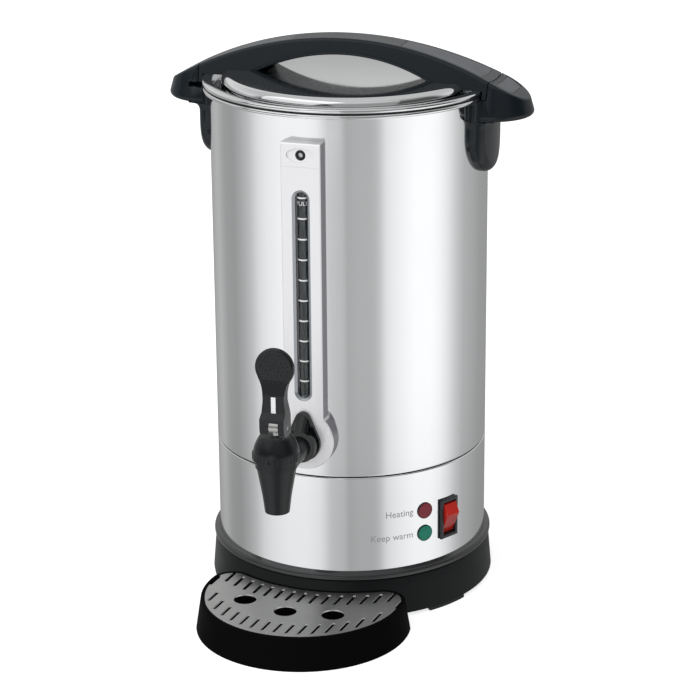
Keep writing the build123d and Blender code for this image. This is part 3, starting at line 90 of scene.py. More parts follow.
def span(node: str) -> tuple[float, float]:
    """Heights of a CAD node's lowest and highest points."""
    low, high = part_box(node)
    return low.z / MM, high.z / MM


def node_radius(node: str) -> float:
    """How far a CAD node reaches from the tank's axis along -Y and +Y."""
    low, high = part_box(node)
    return max(abs(low.y), abs(high.y)) / MM


# ---- materials ----
def linear(code: str) -> tuple[float, float, float, float]:
    """The linear colour, with an alpha of 1, of an sRGB hex value that has a leading #."""
    channels = [int(code[i:i + 2], 16) / 255 for i in (1, 3, 5)]
    red, green, blue = [c / 12.92 if c <= 0.04045 else ((c + 0.055) / 1.055) ** 2.4 for c in channels]
    return red, green, blue, 1.0


def add_node(tree: NodeTree, kind: str, settings: dict[str, object] | None = None,
             inputs: dict[str | int, object] | None = None) -> Node:
    """Adds a node with its settings and links.

    Args:
        tree: the material's or the world's node tree.
        kind: the node's Blender type.
        settings: properties of the node.
        inputs: by name or index, a value to set or an output socket to link.

    Returns:
        The new node.
    """
    node = tree.nodes.new(kind)
    for name, value in (settings or {}).items():
        setattr(node, name, value)
    for name, value in (inputs or {}).items():
        if isinstance(value, NodeSocket):
            tree.links.new(value, node.inputs[name])
        else:
            node.inputs[name].default_value = value
    return node


def mixed(tree: NodeTree, share_of_second: object, first: object, second: object) -> NodeSocket:
    """A colour between two."""
    return add_node(tree, "ShaderNodeMix", {"data_type": "RGBA"}, {
        0: share_of_second, 6: first, 7: second}).outputs[2]


def worked_out(tree: NodeTree, operation: str, first: object, second: object) -> NodeSocket:
    """The result of a mathematical operation on two values."""
    return add_node(tree, "ShaderNodeMath", {"operation": operation}, {0: first, 1: second}).outputs["Value"]


class Lay(Enum):
    """Which way the lines of a polished or brushed sheet run."""

    AROUND = (0.012, 0.012, 1.0)
    ALONG_X = (0.02, 1.0, 1.0)
    NONE = (1.0, 1.0, 1.0)


@dataclass(frozen=True)
class Finish:
    """A surface finish: what it is made of, how it was made and the shader that shows it.

    The grain is the relief of the mould or the polishing wheel, and the mottle is the slow change of gloss
    over the surface.
    """

    name: str
    slot: str
    colour: str
    roughness: float
    metallic: float = 0.0
    ior: float = 1.5
    shade: str = ""
    grain: float = 0.8
    grain_depth: float = 0.0
    lay: Lay = Lay.NONE
    mottle: float = 0.03
    mottle_size: float = 22.0
    transmission: float = 0.0
    subsurface: float = 0.0
    coat: float = 0.0
    reflectance: float = 0.5

    def material(self) -> Material:
        """The Blender material of this finish, made once."""
        made = bpy.data.materials.get(self.name)
        if made is None:
            made = bpy.data.materials.new(self.name)
            made.use_nodes = True
            made.node_tree.nodes.clear()
            made.diffuse_color = linear(self.colour)
            self.build(made.node_tree)
        return made

    def build(self, tree: NodeTree) -> None:
        """Builds the node tree: gloss that drifts, colour that drifts, and relief."""
        place = add_node(tree, "ShaderNodeTexCoord").outputs["Object"]
        shader = add_node(tree, "ShaderNodeBsdfPrincipled", inputs={
            "Base Color": linear(self.colour), "Metallic": self.metallic, "IOR": self.ior,
            "Transmission Weight": self.transmission, "Subsurface Weight": self.subsurface,
            "Coat Weight": self.coat, "Coat Roughness": 0.08, "Specular IOR Level": self.reflectance})
        drift = add_node(tree, "ShaderNodeTexNoise", inputs={
            "Vector": place, "Scale": 1 / (self.mottle_size * MM), "Detail": 3.0}).outputs["Fac"]
        gloss = add_node(tree, "ShaderNodeMapRange", inputs={
            "Value": drift, "From Min": 0.3, "From Max": 0.7,
            "To Min": max(self.roughness - self.mottle, 0.02), "To Max": self.roughness + self.mottle})
        tree.links.new(gloss.outputs["Result"], shader.inputs["Roughness"])
        if self.shade:
            tint = mixed(tree, drift, linear(self.colour), linear(self.shade))
            tree.links.new(tint, shader.inputs["Base Color"])
        if self.grain_depth > 0:
            bump = add_node(tree, "ShaderNodeBump", inputs={
                "Height": self.relief(tree, place), "Strength": 1.0, "Distance": self.grain_depth * MM})
            tree.links.new(bump.outputs["Normal"], shader.inputs["Normal"])
        add_node(tree, "ShaderNodeOutputMaterial", inputs={"Surface": shader.outputs["BSDF"]})

    def relief(self, tree: NodeTree, place: NodeSocket) -> NodeSocket:
        """The height of the relief: an even grain, or lines where the sheet has a lay."""
        stretched = add_node(tree, "ShaderNodeMapping", {"vector_type": "POINT"}, {
            "Vector": place, "Scale": self.lay.value})
        grain = add_node(tree, "ShaderNodeTexNoise", inputs={
            "Vector": stretched.outputs["Vector"], "Scale": 1 / (self.grain * MM), "Detail": 2.0})
        return grain.outputs["Fac"]


@dataclass(frozen=True)
class LensFinish(Finish):
    """A lamp's moulded lens: small pyramids scatter the light, so the face twinkles."""

    facet: float = 0.9

    def relief(self, tree: NodeTree, place: NodeSocket) -> NodeSocket:
        """The height of a close pattern of facets."""
        return add_node(tree, "ShaderNodeTexVoronoi", {"feature": "F1", "distance": "EUCLIDEAN"}, {
            "Vector": place, "Scale": 1 / (self.facet * MM), "Randomness": 0.35}).outputs["Distance"]


# Polished 304 stainless sheet, wheel-polished round the tank: near mirror, with soft horizontal lines and a
# little cleaning haze. The lines are drawn at 0.5 mm, coarser than the wheel leaves them, so that they show.
POLISHED_STEEL = Finish("polished_304_stainless", "polished_stainless", "#EBECED", 0.10, metallic=1.0,
                        grain=0.5, grain_depth=0.0005, lay=Lay.AROUND, mottle=0.02, mottle_size=45.0)
# Inside, the tank keeps the sheet's satin finish.
INNER_STEEL = Finish("satin_304_stainless", "polished_stainless", "#C6C8CA", 0.34, metallic=0.7,
                     grain=0.5, grain_depth=0.002, lay=Lay.AROUND, mottle=0.03, mottle_size=30.0)
# The lid is pressed from the same sheet, polished straight across.
LID_STEEL = Finish("polished_lid_stainless", "lid_stainless", "#EBECED", 0.07, metallic=1.0,
                   grain=0.5, grain_depth=0.0010, lay=Lay.ALONG_X, mottle=0.02, mottle_size=38.0)
# Punched 430 stainless with its mill finish: a dull sheen with fine rolling lines.
GRATE_STEEL = Finish("mill_finish_stainless", "grate_stainless", "#B9BAB8", 0.34, metallic=1.0,
                     grain=0.4, grain_depth=0.004, lay=Lay.ALONG_X, mottle=0.05, mottle_size=14.0)
# Injection-moulded polypropylene, spark-eroded mould: satin black, with a fine grain that breaks highlights.
MOULDED_BLACK = Finish("satin_black_polypropylene", "black_moulded_plastic", "#0B0F10", 0.38,
                       reflectance=0.17, grain=0.55, grain_depth=0.010, mottle=0.04, mottle_size=30.0)
# The handles come from a smoother mould, so they show a soft sheen.
HANDLE_BLACK = Finish("smooth_black_polypropylene", "black_moulded_plastic", "#0C151B", 0.27,
                      reflectance=0.34, grain=0.55, grain_depth=0.005, mottle=0.03, mottle_size=30.0)
# The tray's polypropylene comes from a coarser mould: deeper black, with hardly any gloss.
TRAY_BLACK = Finish("matt_black_polypropylene", "black_moulded_plastic", "#0A0A0B", 0.50,
                    reflectance=0.01, grain=0.6, grain_depth=0.012, mottle=0.04, mottle_size=24.0)
# Thermoplastic elastomer panels: softer than the handle and nearly matt, in a lighter grey that is partly
# their own and partly painted light from above on the handles' tops.
SOFT_GRIP_TOP_LIT = Finish("soft_touch_elastomer_top_lit", "grip_inlay", "#56595D", 0.46,
                   grain=0.35, grain_depth=0.008, mottle=0.04, mottle_size=18.0)
# Acetal tap parts from a polished mould: deep black with soft highlights.
TAP_BLACK = Finish("glossy_black_acetal", "black_tap_plastic", "#121517", 0.30,
                   reflectance=0.36, grain=0.9, grain_depth=0.004, mottle=0.04, mottle_size=9.0)
# The boss behind the tap is polished: it shows crisp highlights.
BOSS_BLACK = Finish("polished_black_acetal", "black_tap_plastic", "#0C0E10", 0.10,
                    grain=0.9, grain_depth=0.002, mottle=0.03, mottle_size=9.0)
# ABS bead round the base, satin grey.
RING_GREY = Finish("satin_grey_abs", "grey_ring_plastic", "#2C2D2E", 0.16,
                   grain=0.6, grain_depth=0.005, mottle=0.03, mottle_size=25.0)
# ABS sprayed with silver lacquer: bright, with a soft even sheen and a fine flake.
SILVER_ABS = Finish("silver_lacquered_abs", "silver_plastic", "#EBEBED", 0.30, metallic=0.3,
                    grain=0.35, grain_depth=0.001, mottle=0.01, mottle_size=40.0, coat=0.2)
# The same moulding's edge in a darker satin grey: painted shade on the housing's sides, which face away from
# the light.
SHADED_EDGE_ABS = Finish("painted_shade_edge_abs", "silver_plastic", "#8E8C93", 0.36, metallic=0.2,
                  grain=0.35, grain_depth=0.002, mottle=0.02, mottle_size=20.0)
# The slope round the gauge's slot, a darker grey than the front: painted shade on the bevel.
SHADED_BEVEL_ABS = Finish("painted_shade_bevel_abs", "silver_plastic", "#A9ACB1", 0.22, metallic=0.6,
                   grain=0.35, grain_depth=0.001, mottle=0.01, mottle_size=20.0)
# Borosilicate sight tube, drawn: clear and very smooth.
SIGHT_GLASS = Finish("borosilicate_tube", "gauge_glass", "#F4FAFA", 0.03, ior=1.47, transmission=1.0,
                     mottle=0.01, mottle_size=12.0)
# Dark strip behind the sight tube, so that the marks read.
GAUGE_DARK = Finish("dark_grey_gauge_lining", "black_moulded_plastic", "#43484B", 0.45,
                    grain=0.5, grain_depth=0.006)
# Milky silicone rubber of the seal ring, bushes, cup and gaskets.
SILICONE = Finish("milky_silicone", "silicone", "#C9CBC8", 0.45, ior=1.41, subsurface=0.35,
                  grain=0.7, grain_depth=0.006)
RUBBER = Finish("black_nitrile_rubber", "black_rubber", "#1A1A1B", 0.72, grain=0.6, grain_depth=0.02)
# Bright zinc-plated steel screws and nuts.
ZINC_STEEL = Finish("bright_zinc_steel", "zinc_steel", "#C4C7CA", 0.30, metallic=1.0,
                    grain=0.3, grain_depth=0.004, mottle=0.06, mottle_size=3.0)
WHITE_MARK = Finish("white_print", "white_plastic", "#E9ECEC", 0.42, grain=0.4, grain_depth=0.004)
SWITCH_BLACK = Finish("black_nylon_switch", "black_switch_plastic", "#202427", 0.33,
                      grain=0.4, grain_depth=0.006, mottle=0.04, mottle_size=6.0)
# Tinted polycarbonate rocker: light enters it, so its raised half glows.
ROCKER_RED = Finish("translucent_red_polycarbonate", "red_translucent", "#C5261C", 0.22, subsurface=0.30,
                    grain=0.6, grain_depth=0.004, mottle=0.05, mottle_size=5.0, coat=0.3)
RED_LENS = LensFinish("dark_red_lamp_lens", "dark_red_lens", "#5E1422", 0.22, shade="#92303F",
                      mottle_size=1.2, grain_depth=0.14, reflectance=0.22, coat=0.12)
GREEN_LENS = LensFinish("green_lamp_lens", "green_lens", "#046450", 0.22, shade="#0E8C74",
                        mottle_size=1.6, grain_depth=0.12, reflectance=0.22, coat=0.12)
# Galvanised pressed plate under the base, with the soft spangle of the zinc.
PLATE_STEEL = Finish("galvanised_pressed_steel", "pressed_steel_plate", "#8E9294", 0.46, metallic=1.0,
                     shade="#A3A7A9", grain=1.4, grain_depth=0.01, mottle=0.10, mottle_size=7.0)
CAST_ALUMINIUM = Finish("die_cast_aluminium", "cast_aluminium", "#A7A9AA", 0.50, metallic=1.0,
                        grain=0.9, grain_depth=0.03, mottle=0.06, mottle_size=9.0)
ELEMENT_SHEATH = Finish("nickel_alloy_sheath", "element_sheath", "#6F6A63", 0.42, metallic=1.0,
                        shade="#7F7460", grain=0.8, grain_depth=0.01, mottle=0.08, mottle_size=11.0)
PHENOLIC = Finish("moulded_phenolic", "phenolic", "#2B211C", 0.38, grain=0.5, grain_depth=0.01)
BRASS = Finish("nickel_plated_brass", "brass_pins", "#B9A36A", 0.24, metallic=1.0,
               grain=0.4, grain_depth=0.003, mottle=0.04, mottle_size=2.0)
# Grey pad print on the steel.
PRINT_GREY = Finish("grey_pad_print", "grey_ring_plastic", "#979A9E", 0.55, grain=0.3, grain_depth=0.004)

FINISHES: tuple[Finish, ...] = (
    POLISHED_STEEL, LID_STEEL, GRATE_STEEL, MOULDED_BLACK, SOFT_GRIP_TOP_LIT, TAP_BLACK, RING_GREY, SILVER_ABS,
    SIGHT_GLASS, SILICONE, RUBBER, ZINC_STEEL, WHITE_MARK, SWITCH_BLACK, ROCKER_RED, RED_LENS, GREEN_LENS,
    PLATE_STEEL, CAST_ALUMINIUM, ELEMENT_SHEATH, PHENOLIC, BRASS)


# ---- making pieces ----
@dataclass(frozen=True)
class Corner:
    """A corner of a turned outline: its radius and height, and its rounding."""

    r: float
    z: float
    rounding: float = 0.0
    steps: int = 5


def bevelled(bm: BMesh, what: Sequence[object], width: float, steps: int, affect: str = "EDGES",
             clamp: bool = False) -> None:
    """Rounds edges or corners of a mesh by a width, which can be kept from running over its neighbours."""
    bmesh.ops.bevel(bm, geom=what, offset=width * MM, offset_type="OFFSET", segments=steps, profile=0.5,
                    affect=affect, clamp_overlap=clamp, material=-1)


def turned(outline: Sequence[Corner], segments: int = 256) -> BMesh:
    """Turns an outline about the Z axis.

    Args:
        outline: corners in order round the section; one that starts and ends on the axis stays open there.
        segments: facets round the full turn.

    Returns:
        A closed mesh with its normals outwards.
    """
    bm = bmesh.new()
    corners = [bm.verts.new((c.r * MM, 0, c.z * MM)) for c in outline]
    bm.faces.new(corners)
    for size, steps in sorted({(c.rounding, c.steps) for c in outline if c.rounding > 0}):
        these = [v for v, c in zip(corners, outline) if (c.rounding, c.steps) == (size, steps)]
        bevelled(bm, these, size, steps, "VERTICES")
    bmesh.ops.delete(bm, geom=bm.faces[:], context="FACES_ONLY")
    on_axis = [e for e in bm.edges if all(v.co.x < 1e-7 for v in e.verts)]
    bmesh.ops.delete(bm, geom=on_axis, context="EDGES")
    bmesh.ops.spin(bm, geom=bm.verts[:] + bm.edges[:], cent=(0, 0, 0), axis=(0, 0, 1), angle=math.tau,
                   steps=segments, use_merge=True, use_duplicate=False)
    tidy(bm)
    return bm


def tidy(bm: BMesh) -> None:
    """Merges doubles and points the faces outwards."""
    bmesh.ops.remove_doubles(bm, verts=bm.verts[:], dist=1e-7)
    bmesh.ops.recalc_face_normals(bm, faces=bm.faces[:])


def wall(r: float, z_from: float, z_to: float) -> list[Corner]:
    """Points between the two ends of a straight wall, so that its facets stay short."""
    count = max(int(abs(z_to - z_from) / WALL_PITCH), 1)
    return [Corner(r, z_from + (z_to - z_from) * i / count) for i in range(1, count)]


def shift(x: float = 0.0, y: float = 0.0, z: float = 0.0) -> Matrix:
    """A move."""
    return Matrix.Translation((x * MM, y * MM, z * MM))


def on_wall(azimuth: float, z: float) -> Matrix:
    """A place on the tank's wall: its local Z points outwards, its Y up and its X to the right.

    Args:
        azimuth: degrees from the front towards +X.
        z: height.

    Returns:
        The matrix that takes a piece from its own frame to the urn's.
    """
    a = math.radians(azimuth)
    outward = Vector((math.sin(a), -math.cos(a), 0))
    across = Vector((math.cos(a), math.sin(a), 0))
    turn = Matrix((across, Vector((0, 0, 1)), outward)).transposed().to_4x4()
    return Matrix.Translation(outward * SHELL_R * MM + Vector((0, 0, z * MM))) @ turn


def piece(name: str, bm: BMesh, finish: Finish, body: str = "urn", stands_for: Sequence[str] = ()) -> Object:
    """Makes a finished piece of the urn from a bmesh.

    Args:
        name: the piece's name.
        bm: its mesh in the urn's frame, which is freed here.
        finish: its finish.
        body: the body it rides on.
        stands_for: the CAD nodes it replaces.

    Returns:
        The piece's object, at the origin.
    """
    mesh = bpy.data.meshes.new(name)
    bm.to_mesh(mesh)
    bm.free()
    mesh.shade_smooth()
    mesh.set_sharp_from_angle(angle=math.radians(SMOOTH_BELOW))
    mesh.materials.append(finish.material())
    made = bpy.data.objects.new(name, mesh)
    bpy.context.scene.collection.objects.link(made)
    even = made.modifiers.new("even_normals", "WEIGHTED_NORMAL")
    even.keep_sharp = True
    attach(made, body)
    if stands_for:
        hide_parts(*stands_for)
    log.info("%s: %d faces on %s in %s", name, len(mesh.polygons), body, finish.name)
    return made


def merged(node: str, soften: float = 0.0) -> BMesh:
    """A merged copy of a CAD node's mesh, with a narrow bevel along its hard edges if asked."""
    bm = bmesh.new()
    bm.from_mesh(NODES[node].data)
    bmesh.ops.remove_doubles(bm, verts=bm.verts[:], dist=1e-6)
    bmesh.ops.dissolve_degenerate(bm, edges=bm.edges[:], dist=1e-7)
    if soften > 0:
        bmesh.ops.dissolve_limit(bm, angle_limit=math.radians(0.3), verts=bm.verts[:], edges=bm.edges[:])
        hard = [e for e in bm.edges if e.is_manifold and e.calc_face_angle(0.0) > math.radians(HARD_ABOVE)]
        bevelled(bm, hard, soften, 2, clamp=True)
        bmesh.ops.triangulate(bm, faces=[f for f in bm.faces if len(f.verts) > 4])
    return bm


def share(whole: BMesh, wanted: Callable[[BMFace], bool]) -> BMesh:
    """A copy of those faces of a mesh for which a test holds."""
    bm = whole.copy()
    bmesh.ops.delete(bm, geom=[f for f in bm.faces if not wanted(f)], context="FACES")
    return bm


def body_of(node: str) -> str:
    """The body that a CAD node belongs to."""
    return NODES[node]["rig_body"]


def dressed(node: str, finish: Finish, soften: float = 0.0) -> Object:
    """A smooth copy of a CAD node, softened along its hard edges, that stands for it."""
    return piece(f"{node}_dressed", merged(node, soften), finish, body_of(node), [node])


def placed(bm: BMesh, where: Matrix) -> BMesh:
    """The same mesh, taken to its place."""
    bmesh.ops.transform(bm, matrix=where, verts=bm.verts[:])
    return bm


def joined(parts: Iterable[BMesh]) -> BMesh:
    """One mesh of several, which are freed."""
    whole = bmesh.new()
    for part in parts:
        scratch = bpy.data.meshes.new("scratch")
        part.to_mesh(scratch)
        part.free()
        whole.from_mesh(scratch)
        bpy.data.meshes.remove(scratch)
    return whole


def rod(radius: float, length: float, segments: int, low: float) -> BMesh:
    """A closed round bar along Z, from a low end up."""
    bm = bmesh.new()
    bmesh.ops.create_cone(bm, cap_ends=True, segments=segments, radius1=radius * MM, radius2=radius * MM,
                          depth=length * MM, matrix=shift(z=low + length / 2))
    return bm


def drill(radius: float, azimuth: float, z: float, segments: int = 24) -> BMesh:
    """A cutter for a round hole through the tank's wall."""
    return placed(rod(radius, 8, segments, -4), on_wall(azimuth, z))


def bar(x: float, y: float, z: float) -> BMesh:
    """A closed block about the origin, for a cutter."""
    bm = bmesh.new()
    bmesh.ops.create_cube(bm, size=1.0, matrix=Matrix.Diagonal((x * MM, y * MM, z * MM, 1)))
    return bm


def cut(bm: BMesh, cutters: Iterable[BMesh]) -> BMesh:
    """Cuts holes in a mesh.

    Args:
        bm: the mesh, which is freed.
        cutters: closed meshes of what goes, which are freed.

    Returns:
        What is left, as a new mesh.
    """
    objects = []
    for name, source in (("stock", bm), ("cutter", joined(cutters))):
        mesh = bpy.data.meshes.new(name)
        source.to_mesh(mesh)
        source.free()
        objects.append(bpy.data.objects.new(name, mesh))
        bpy.context.scene.collection.objects.link(objects[-1])
    stock, cutter = objects
    punch = stock.modifiers.new("punch", "BOOLEAN")
    punch.operation = "DIFFERENCE"
    punch.solver = "EXACT"
    punch.object = cutter
    bpy.context.view_layer.update()
    result = bpy.data.meshes.new_from_object(stock.evaluated_get(bpy.context.evaluated_depsgraph_get()))
    left = bmesh.new()
    left.from_mesh(result)
    for gone in objects:
        mesh = gone.data
        bpy.data.objects.remove(gone)
        bpy.data.meshes.remove(mesh)
    bpy.data.meshes.remove(result)
    return left


def lettering(word: str, size: float, align: str) -> BMesh:
    """Flat letters in the XY plane, with the origin at the LEFT, CENTER or RIGHT of the word."""
    font = bpy.data.curves.new(word.replace(" ", "_"), "FONT")
    font.body = word
    font.size = size * MM
    font.align_x = align
    font.align_y = "CENTER"
    holder = bpy.data.objects.new("word", font)
    flat = bpy.data.meshes.new_from_object(holder)
    bm = bmesh.new()
    bm.from_mesh(flat)
    bpy.data.objects.remove(holder)
    bpy.data.curves.remove(font)
    bpy.data.meshes.remove(flat)
    bmesh.ops.remove_doubles(bm, verts=bm.verts[:], dist=1e-6)
    return bm


def wrap(bm: BMesh, radius: float, azimuth: float) -> None:
    """Lays a flat mesh round an upright cylinder about the Z axis: its X runs round and its Y runs up.

    Args:
        bm: the mesh, which is changed.
        radius: the cylinder's radius.
        azimuth: degrees from the front at which X is 0.
    """
    for v in bm.verts:
        a = math.radians(azimuth) + v.co.x / (radius * MM)
        v.co = Vector((radius * MM * math.sin(a), -radius * MM * math.cos(a), v.co.y))


# ---- sub-assemblies ----
@dataclass
class Shells:
    """Tank, lower shell and lid pan: thin polished sheet, turned finely so that reflections run straight."""

    sheet: float = 0.8
    deck_flange: float = 14.0
    seam_round: float = 0.8
    hem_h: float = 3.1
    hem_round: float = 1.4
    rim_r: float = field(default_factory=lambda: node_radius("tank"))
    tank_z: tuple[float, float] = field(default_factory=lambda: span("tank"))
    lower_z: tuple[float, float] = field(default_factory=lambda: span("lower_shell"))
    lid_z: tuple[float, float] = field(default_factory=lambda: span("lid_pan"))
    crown_r: float = 94.0
    shoulder: float = 6.0
    spigot_r: float = 101.2
    lid_hem_z: float = 384.7
    lid_screw: tuple[float, float] = (77.0, 6.5)
    side_screw_z: tuple[float, float] = (343.0, 361.0)
    screw_hole: float = 2.05
    shank_hole: float = 8.48
    shank_z: float = 142.0
    lamp_hole: float = 5.05
    switch_hole: tuple[float, float] = (14.8, 28.3)
    switch_at: tuple[float, float] = (62.0, 69.0)
    inlet_hole: tuple[float, float] = (31.1, 23.1)
    inlet_at: tuple[float, float] = (180.0, 66.0)
    inlet_screw_x: float = 20.0

    def build(self) -> None:
        """Builds the three shells and the rubber ring between rim and lid."""
        self.tank()
        self.lower_shell()
        self.lid_pan()
        dressed("lid_seal", RUBBER)

    def tank(self) -> None:
        """The tank: bottom, wall and rolled rim, with holes for the tap, the gauge and the side handles."""
        low, high = self.tank_z
        inner = SHELL_R - self.sheet
        hem_z = high - self.hem_h
        outline = [Corner(0, low), Corner(SHELL_R, low, 2 * self.seam_round), *wall(SHELL_R, low, hem_z),
                   Corner(SHELL_R, hem_z, 0.3, 2), Corner(self.rim_r, hem_z, self.hem_round, 7),
                   Corner(self.rim_r, high, self.hem_round, 7), Corner(inner, high, 0.4, 3),
                   *wall(inner, high, low + self.sheet), Corner(inner, low + self.sheet, 1.2),
                   Corner(0, low + self.sheet)]
        holes = [drill(self.shank_hole, 0, self.shank_z, 48), drill(self.screw_hole, 0, CAP_SCREW_Z)]
        holes += [drill(self.screw_hole, azimuth, z) for z in self.side_screw_z for azimuth in (90, -90)]
        whole = cut(turned(outline), holes)
        piece("tank_inside", share(whole, self.is_inside), INNER_STEEL)
        piece("tank_shell", share(whole, lambda f: not self.is_inside(f)), POLISHED_STEEL, "urn", ["tank"])
        whole.free()

    def is_inside(self, face: BMFace) -> bool:
        """Whether a face of the tank is the inner side of its wall or the top of its bottom."""
        middle = face.calc_center_median() / MM
        low, high = self.tank_z
        part_way = 0.6 * self.sheet
        return math.hypot(middle.x, middle.y) < SHELL_R - part_way and low + part_way < middle.z < high - 1

    def lower_shell(self) -> None:
        """The shell under the seam, with openings for the lamps, the switch and the inlet."""
        low, high = self.lower_z
        inner = SHELL_R - self.sheet
        flange_r = SHELL_R - self.deck_flange
        outline = [Corner(inner, low), Corner(SHELL_R, low), *wall(SHELL_R, low, high),
                   Corner(SHELL_R, high, self.seam_round), Corner(flange_r, high),
                   Corner(flange_r, high - self.sheet), Corner(inner, high - self.sheet),
                   *wall(inner, high - self.sheet, low)]
        holes = [drill(self.lamp_hole, LAMP_AZIMUTH, z, 48) for z in LAMP_Z]
        holes.append(placed(bar(*self.switch_hole, 8), on_wall(*self.switch_at)))
        holes.append(placed(bar(*self.inlet_hole, 8), on_wall(*self.inlet_at)))
        for x in (-self.inlet_screw_x, self.inlet_screw_x):
            holes.append(placed(rod(self.screw_hole, 8, 24, -5), on_wall(*self.inlet_at) @ shift(x)))
        piece("lower_shell_wall", cut(turned(outline), holes), POLISHED_STEEL, "urn", ["lower_shell"])

    def lid_pan(self) -> None:
        """The lid: flat crown, round shoulder, locating channel and rolled hem."""
        low, high = self.lid_z
        sheet, hem_z, hem_top = self.sheet, self.lid_hem_z, self.lid_hem_z + self.hem_h
        spigot_in, crown_in = self.spigot_r - sheet, self.crown_r - sheet
        rings = [Corner(r, high) for r in (20, 40, 60, 80)]
        outline = [Corner(0, high), *rings, Corner(self.crown_r, high, self.shoulder, 10),
                   Corner(self.crown_r, low + sheet, 0.5, 3), Corner(spigot_in, low + sheet, 0.5, 3),
                   Corner(spigot_in, hem_top, 0.8, 4), Corner(self.rim_r, hem_top, self.hem_round, 7),
                   Corner(self.rim_r, hem_z, self.hem_round, 7), Corner(self.spigot_r, hem_z),
                   Corner(self.spigot_r, low, 1.2, 4), Corner(crown_in, low, 1.2, 4),
                   Corner(crown_in, high - sheet, self.shoulder - sheet, 10), Corner(0, high - sheet)]
        screw_x, screw_y = self.lid_screw
        holes = [placed(rod(self.screw_hole, 6, 24, -3), shift(x, y, high))
                 for x in (-screw_x, screw_x) for y in (-screw_y, screw_y)]
        piece("lid_pressing", cut(turned(outline), holes), LID_STEEL, "lid", ["lid_pan"])


@dataclass
class Base:
    """Bead, skirt, feet and bottom plate."""

    ring_round: float = 2.4
    ring_r: float = field(default_factory=lambda: node_radius("base_ring"))
    ring_z: tuple[float, float] = field(default_factory=lambda: span("base_ring"))
    ring_in: float = 102.55

    def build(self) -> None:
        """Builds the bead and dresses the skirt, the feet and the plate."""
        low, high = self.ring_z
        outline = [Corner(self.ring_in, low), Corner(self.ring_r, low, self.ring_round, 8),
                   Corner(self.ring_r, high, self.ring_round, 8), Corner(self.ring_in, high, 0.2, 2)]
        piece("base_bead", turned(outline), RING_GREY, "urn", ["base_ring"])
        dressed("base_skirt", MOULDED_BLACK)
        dressed("base_feet", RUBBER, 0.4)
        dressed("base_plate", PLATE_STEEL)


@dataclass
class Handles:
    """Lid handle, side handles and their soft panels.

    A side handle's tongue runs into its wing by a hollow corner, which follows the tongue's round edges. What
    the moulding has there is cut away first.
    """

    tongue_r: float = 111.5
    tongue_half_w: float = 27.5
    tongue_round: float = 7.0
    tongue_x: float = 98.9
    corner_x: float = 102.47
    wing_z: float = 366.0
    wing_rise: float = 0.04
    wing_x: float = 101.7
    wing_edge: float = 0.25
    flare_low: float = 360.9
    flare_r: float = 5.0
    flare_inset: float = 0.6
    flare_lift: float = 0.3
    spare: tuple[float, float] = (0.03, 9.0)
    steps: int = 12

    def build(self) -> None:
        """Dresses the three handle mouldings and the panels in their tops."""
        dressed("lid_handle", HANDLE_BLACK, 0.35)
        near, far = self.spare
        block = [(near, 0.0), (far, 0.0), (far, 1.0), (near, 1.0)]
        hollow = [(self.flare_r * (1 - math.sqrt(1 - (i / self.steps) ** 2)), i / self.steps)
                  for i in range(self.steps + 1)]
        section = [(-self.flare_inset, 0.0), *hollow, (-self.flare_inset, 1.0)]
        for node, side in (("right_side_handle", 1.0), ("left_side_handle", -1.0)):
            spare = self.swept(side, block, -near, lambda across: 1.0)
            piece(f"{node}_dressed", cut(merged(node), [spare]), HANDLE_BLACK, body_of(node), [node])
            flare = self.swept(side, section, self.flare_lift, self.room_under_wing)
            piece(f"{node}_flare", flare, HANDLE_BLACK, body_of(node))
        for node in ("lid_handle_inlays", "side_handle_inlays"):
            dressed(node, SOFT_GRIP_TOP_LIT, 0.3)

    def outline(self) -> list[tuple[float, float, float, float]]:
        """The tongue's plan: places on its edge and the directions outwards there, from -Y to +Y."""
        corner_y = self.tongue_half_w - self.tongue_round
        turn = math.asin(corner_y / (self.tongue_r - self.tongue_round))
        half = [(self.tongue_x, self.tongue_half_w, 0.0, 1.0)]
        for x, y, r, start, end in ((self.corner_x, corner_y, self.tongue_round, math.pi / 2, turn),
                                    (0.0, 0.0, self.tongue_r, turn, 0.0)):
            for i in range(self.steps + 1):
                a = start + (end - start) * i / self.steps
                half.append((x + r * math.cos(a), y + r * math.sin(a), math.cos(a), math.sin(a)))
        del half[-self.steps - 1]
        return [(x, -y, nx, -ny) for x, y, nx, ny in half[:-1]] + half[::-1]

    def room_under_wing(self, across: float) -> float:
        """How much of its full width the hollow corner has where the outward direction's Y is this."""
        room = self.tongue_round / max(abs(across), 0.1) - self.tongue_round + self.wing_edge
        return min(self.flare_r, room) / self.flare_r

    def swept(self, side: float, section: Sequence[tuple[float, float]], lift: float,
              narrowing: Callable[[float], float]) -> BMesh:
        """A closed strip round the tongue, up to the wing's underside.

        Args:
            side: 1 for the right handle and -1 for the left, which is its half turn.
            section: the strip's section, in mm outwards and as a share of the way up to the wing.
            lift: how far above the wing's underside it ends.
            narrowing: what share of its width it keeps, from the Y of the direction outwards.

        Returns:
            The strip.
        """
        bm = bmesh.new()
        rows = []
        for x, y, nx, ny in self.outline():
            row = []
            for out, up in section:
                offset = out * narrowing(ny) if out > 0 else out
                at_x, at_y = x + nx * offset, y + ny * offset
                top = self.wing_z + self.wing_rise * (at_x - self.wing_x) + lift
                z = self.flare_low + (top - self.flare_low) * up
                row.append(bm.verts.new((side * at_x * MM, side * at_y * MM, z * MM)))
            rows.append(row)
        for near, far in zip(rows, rows[1:]):
            for i, j in zip(range(len(near)), [*range(1, len(near)), 0]):
                bm.faces.new((near[i], near[j], far[j], far[i]))
        bm.faces.new(rows[0])
        bm.faces.new(rows[-1])
        tidy(bm)
        return bm


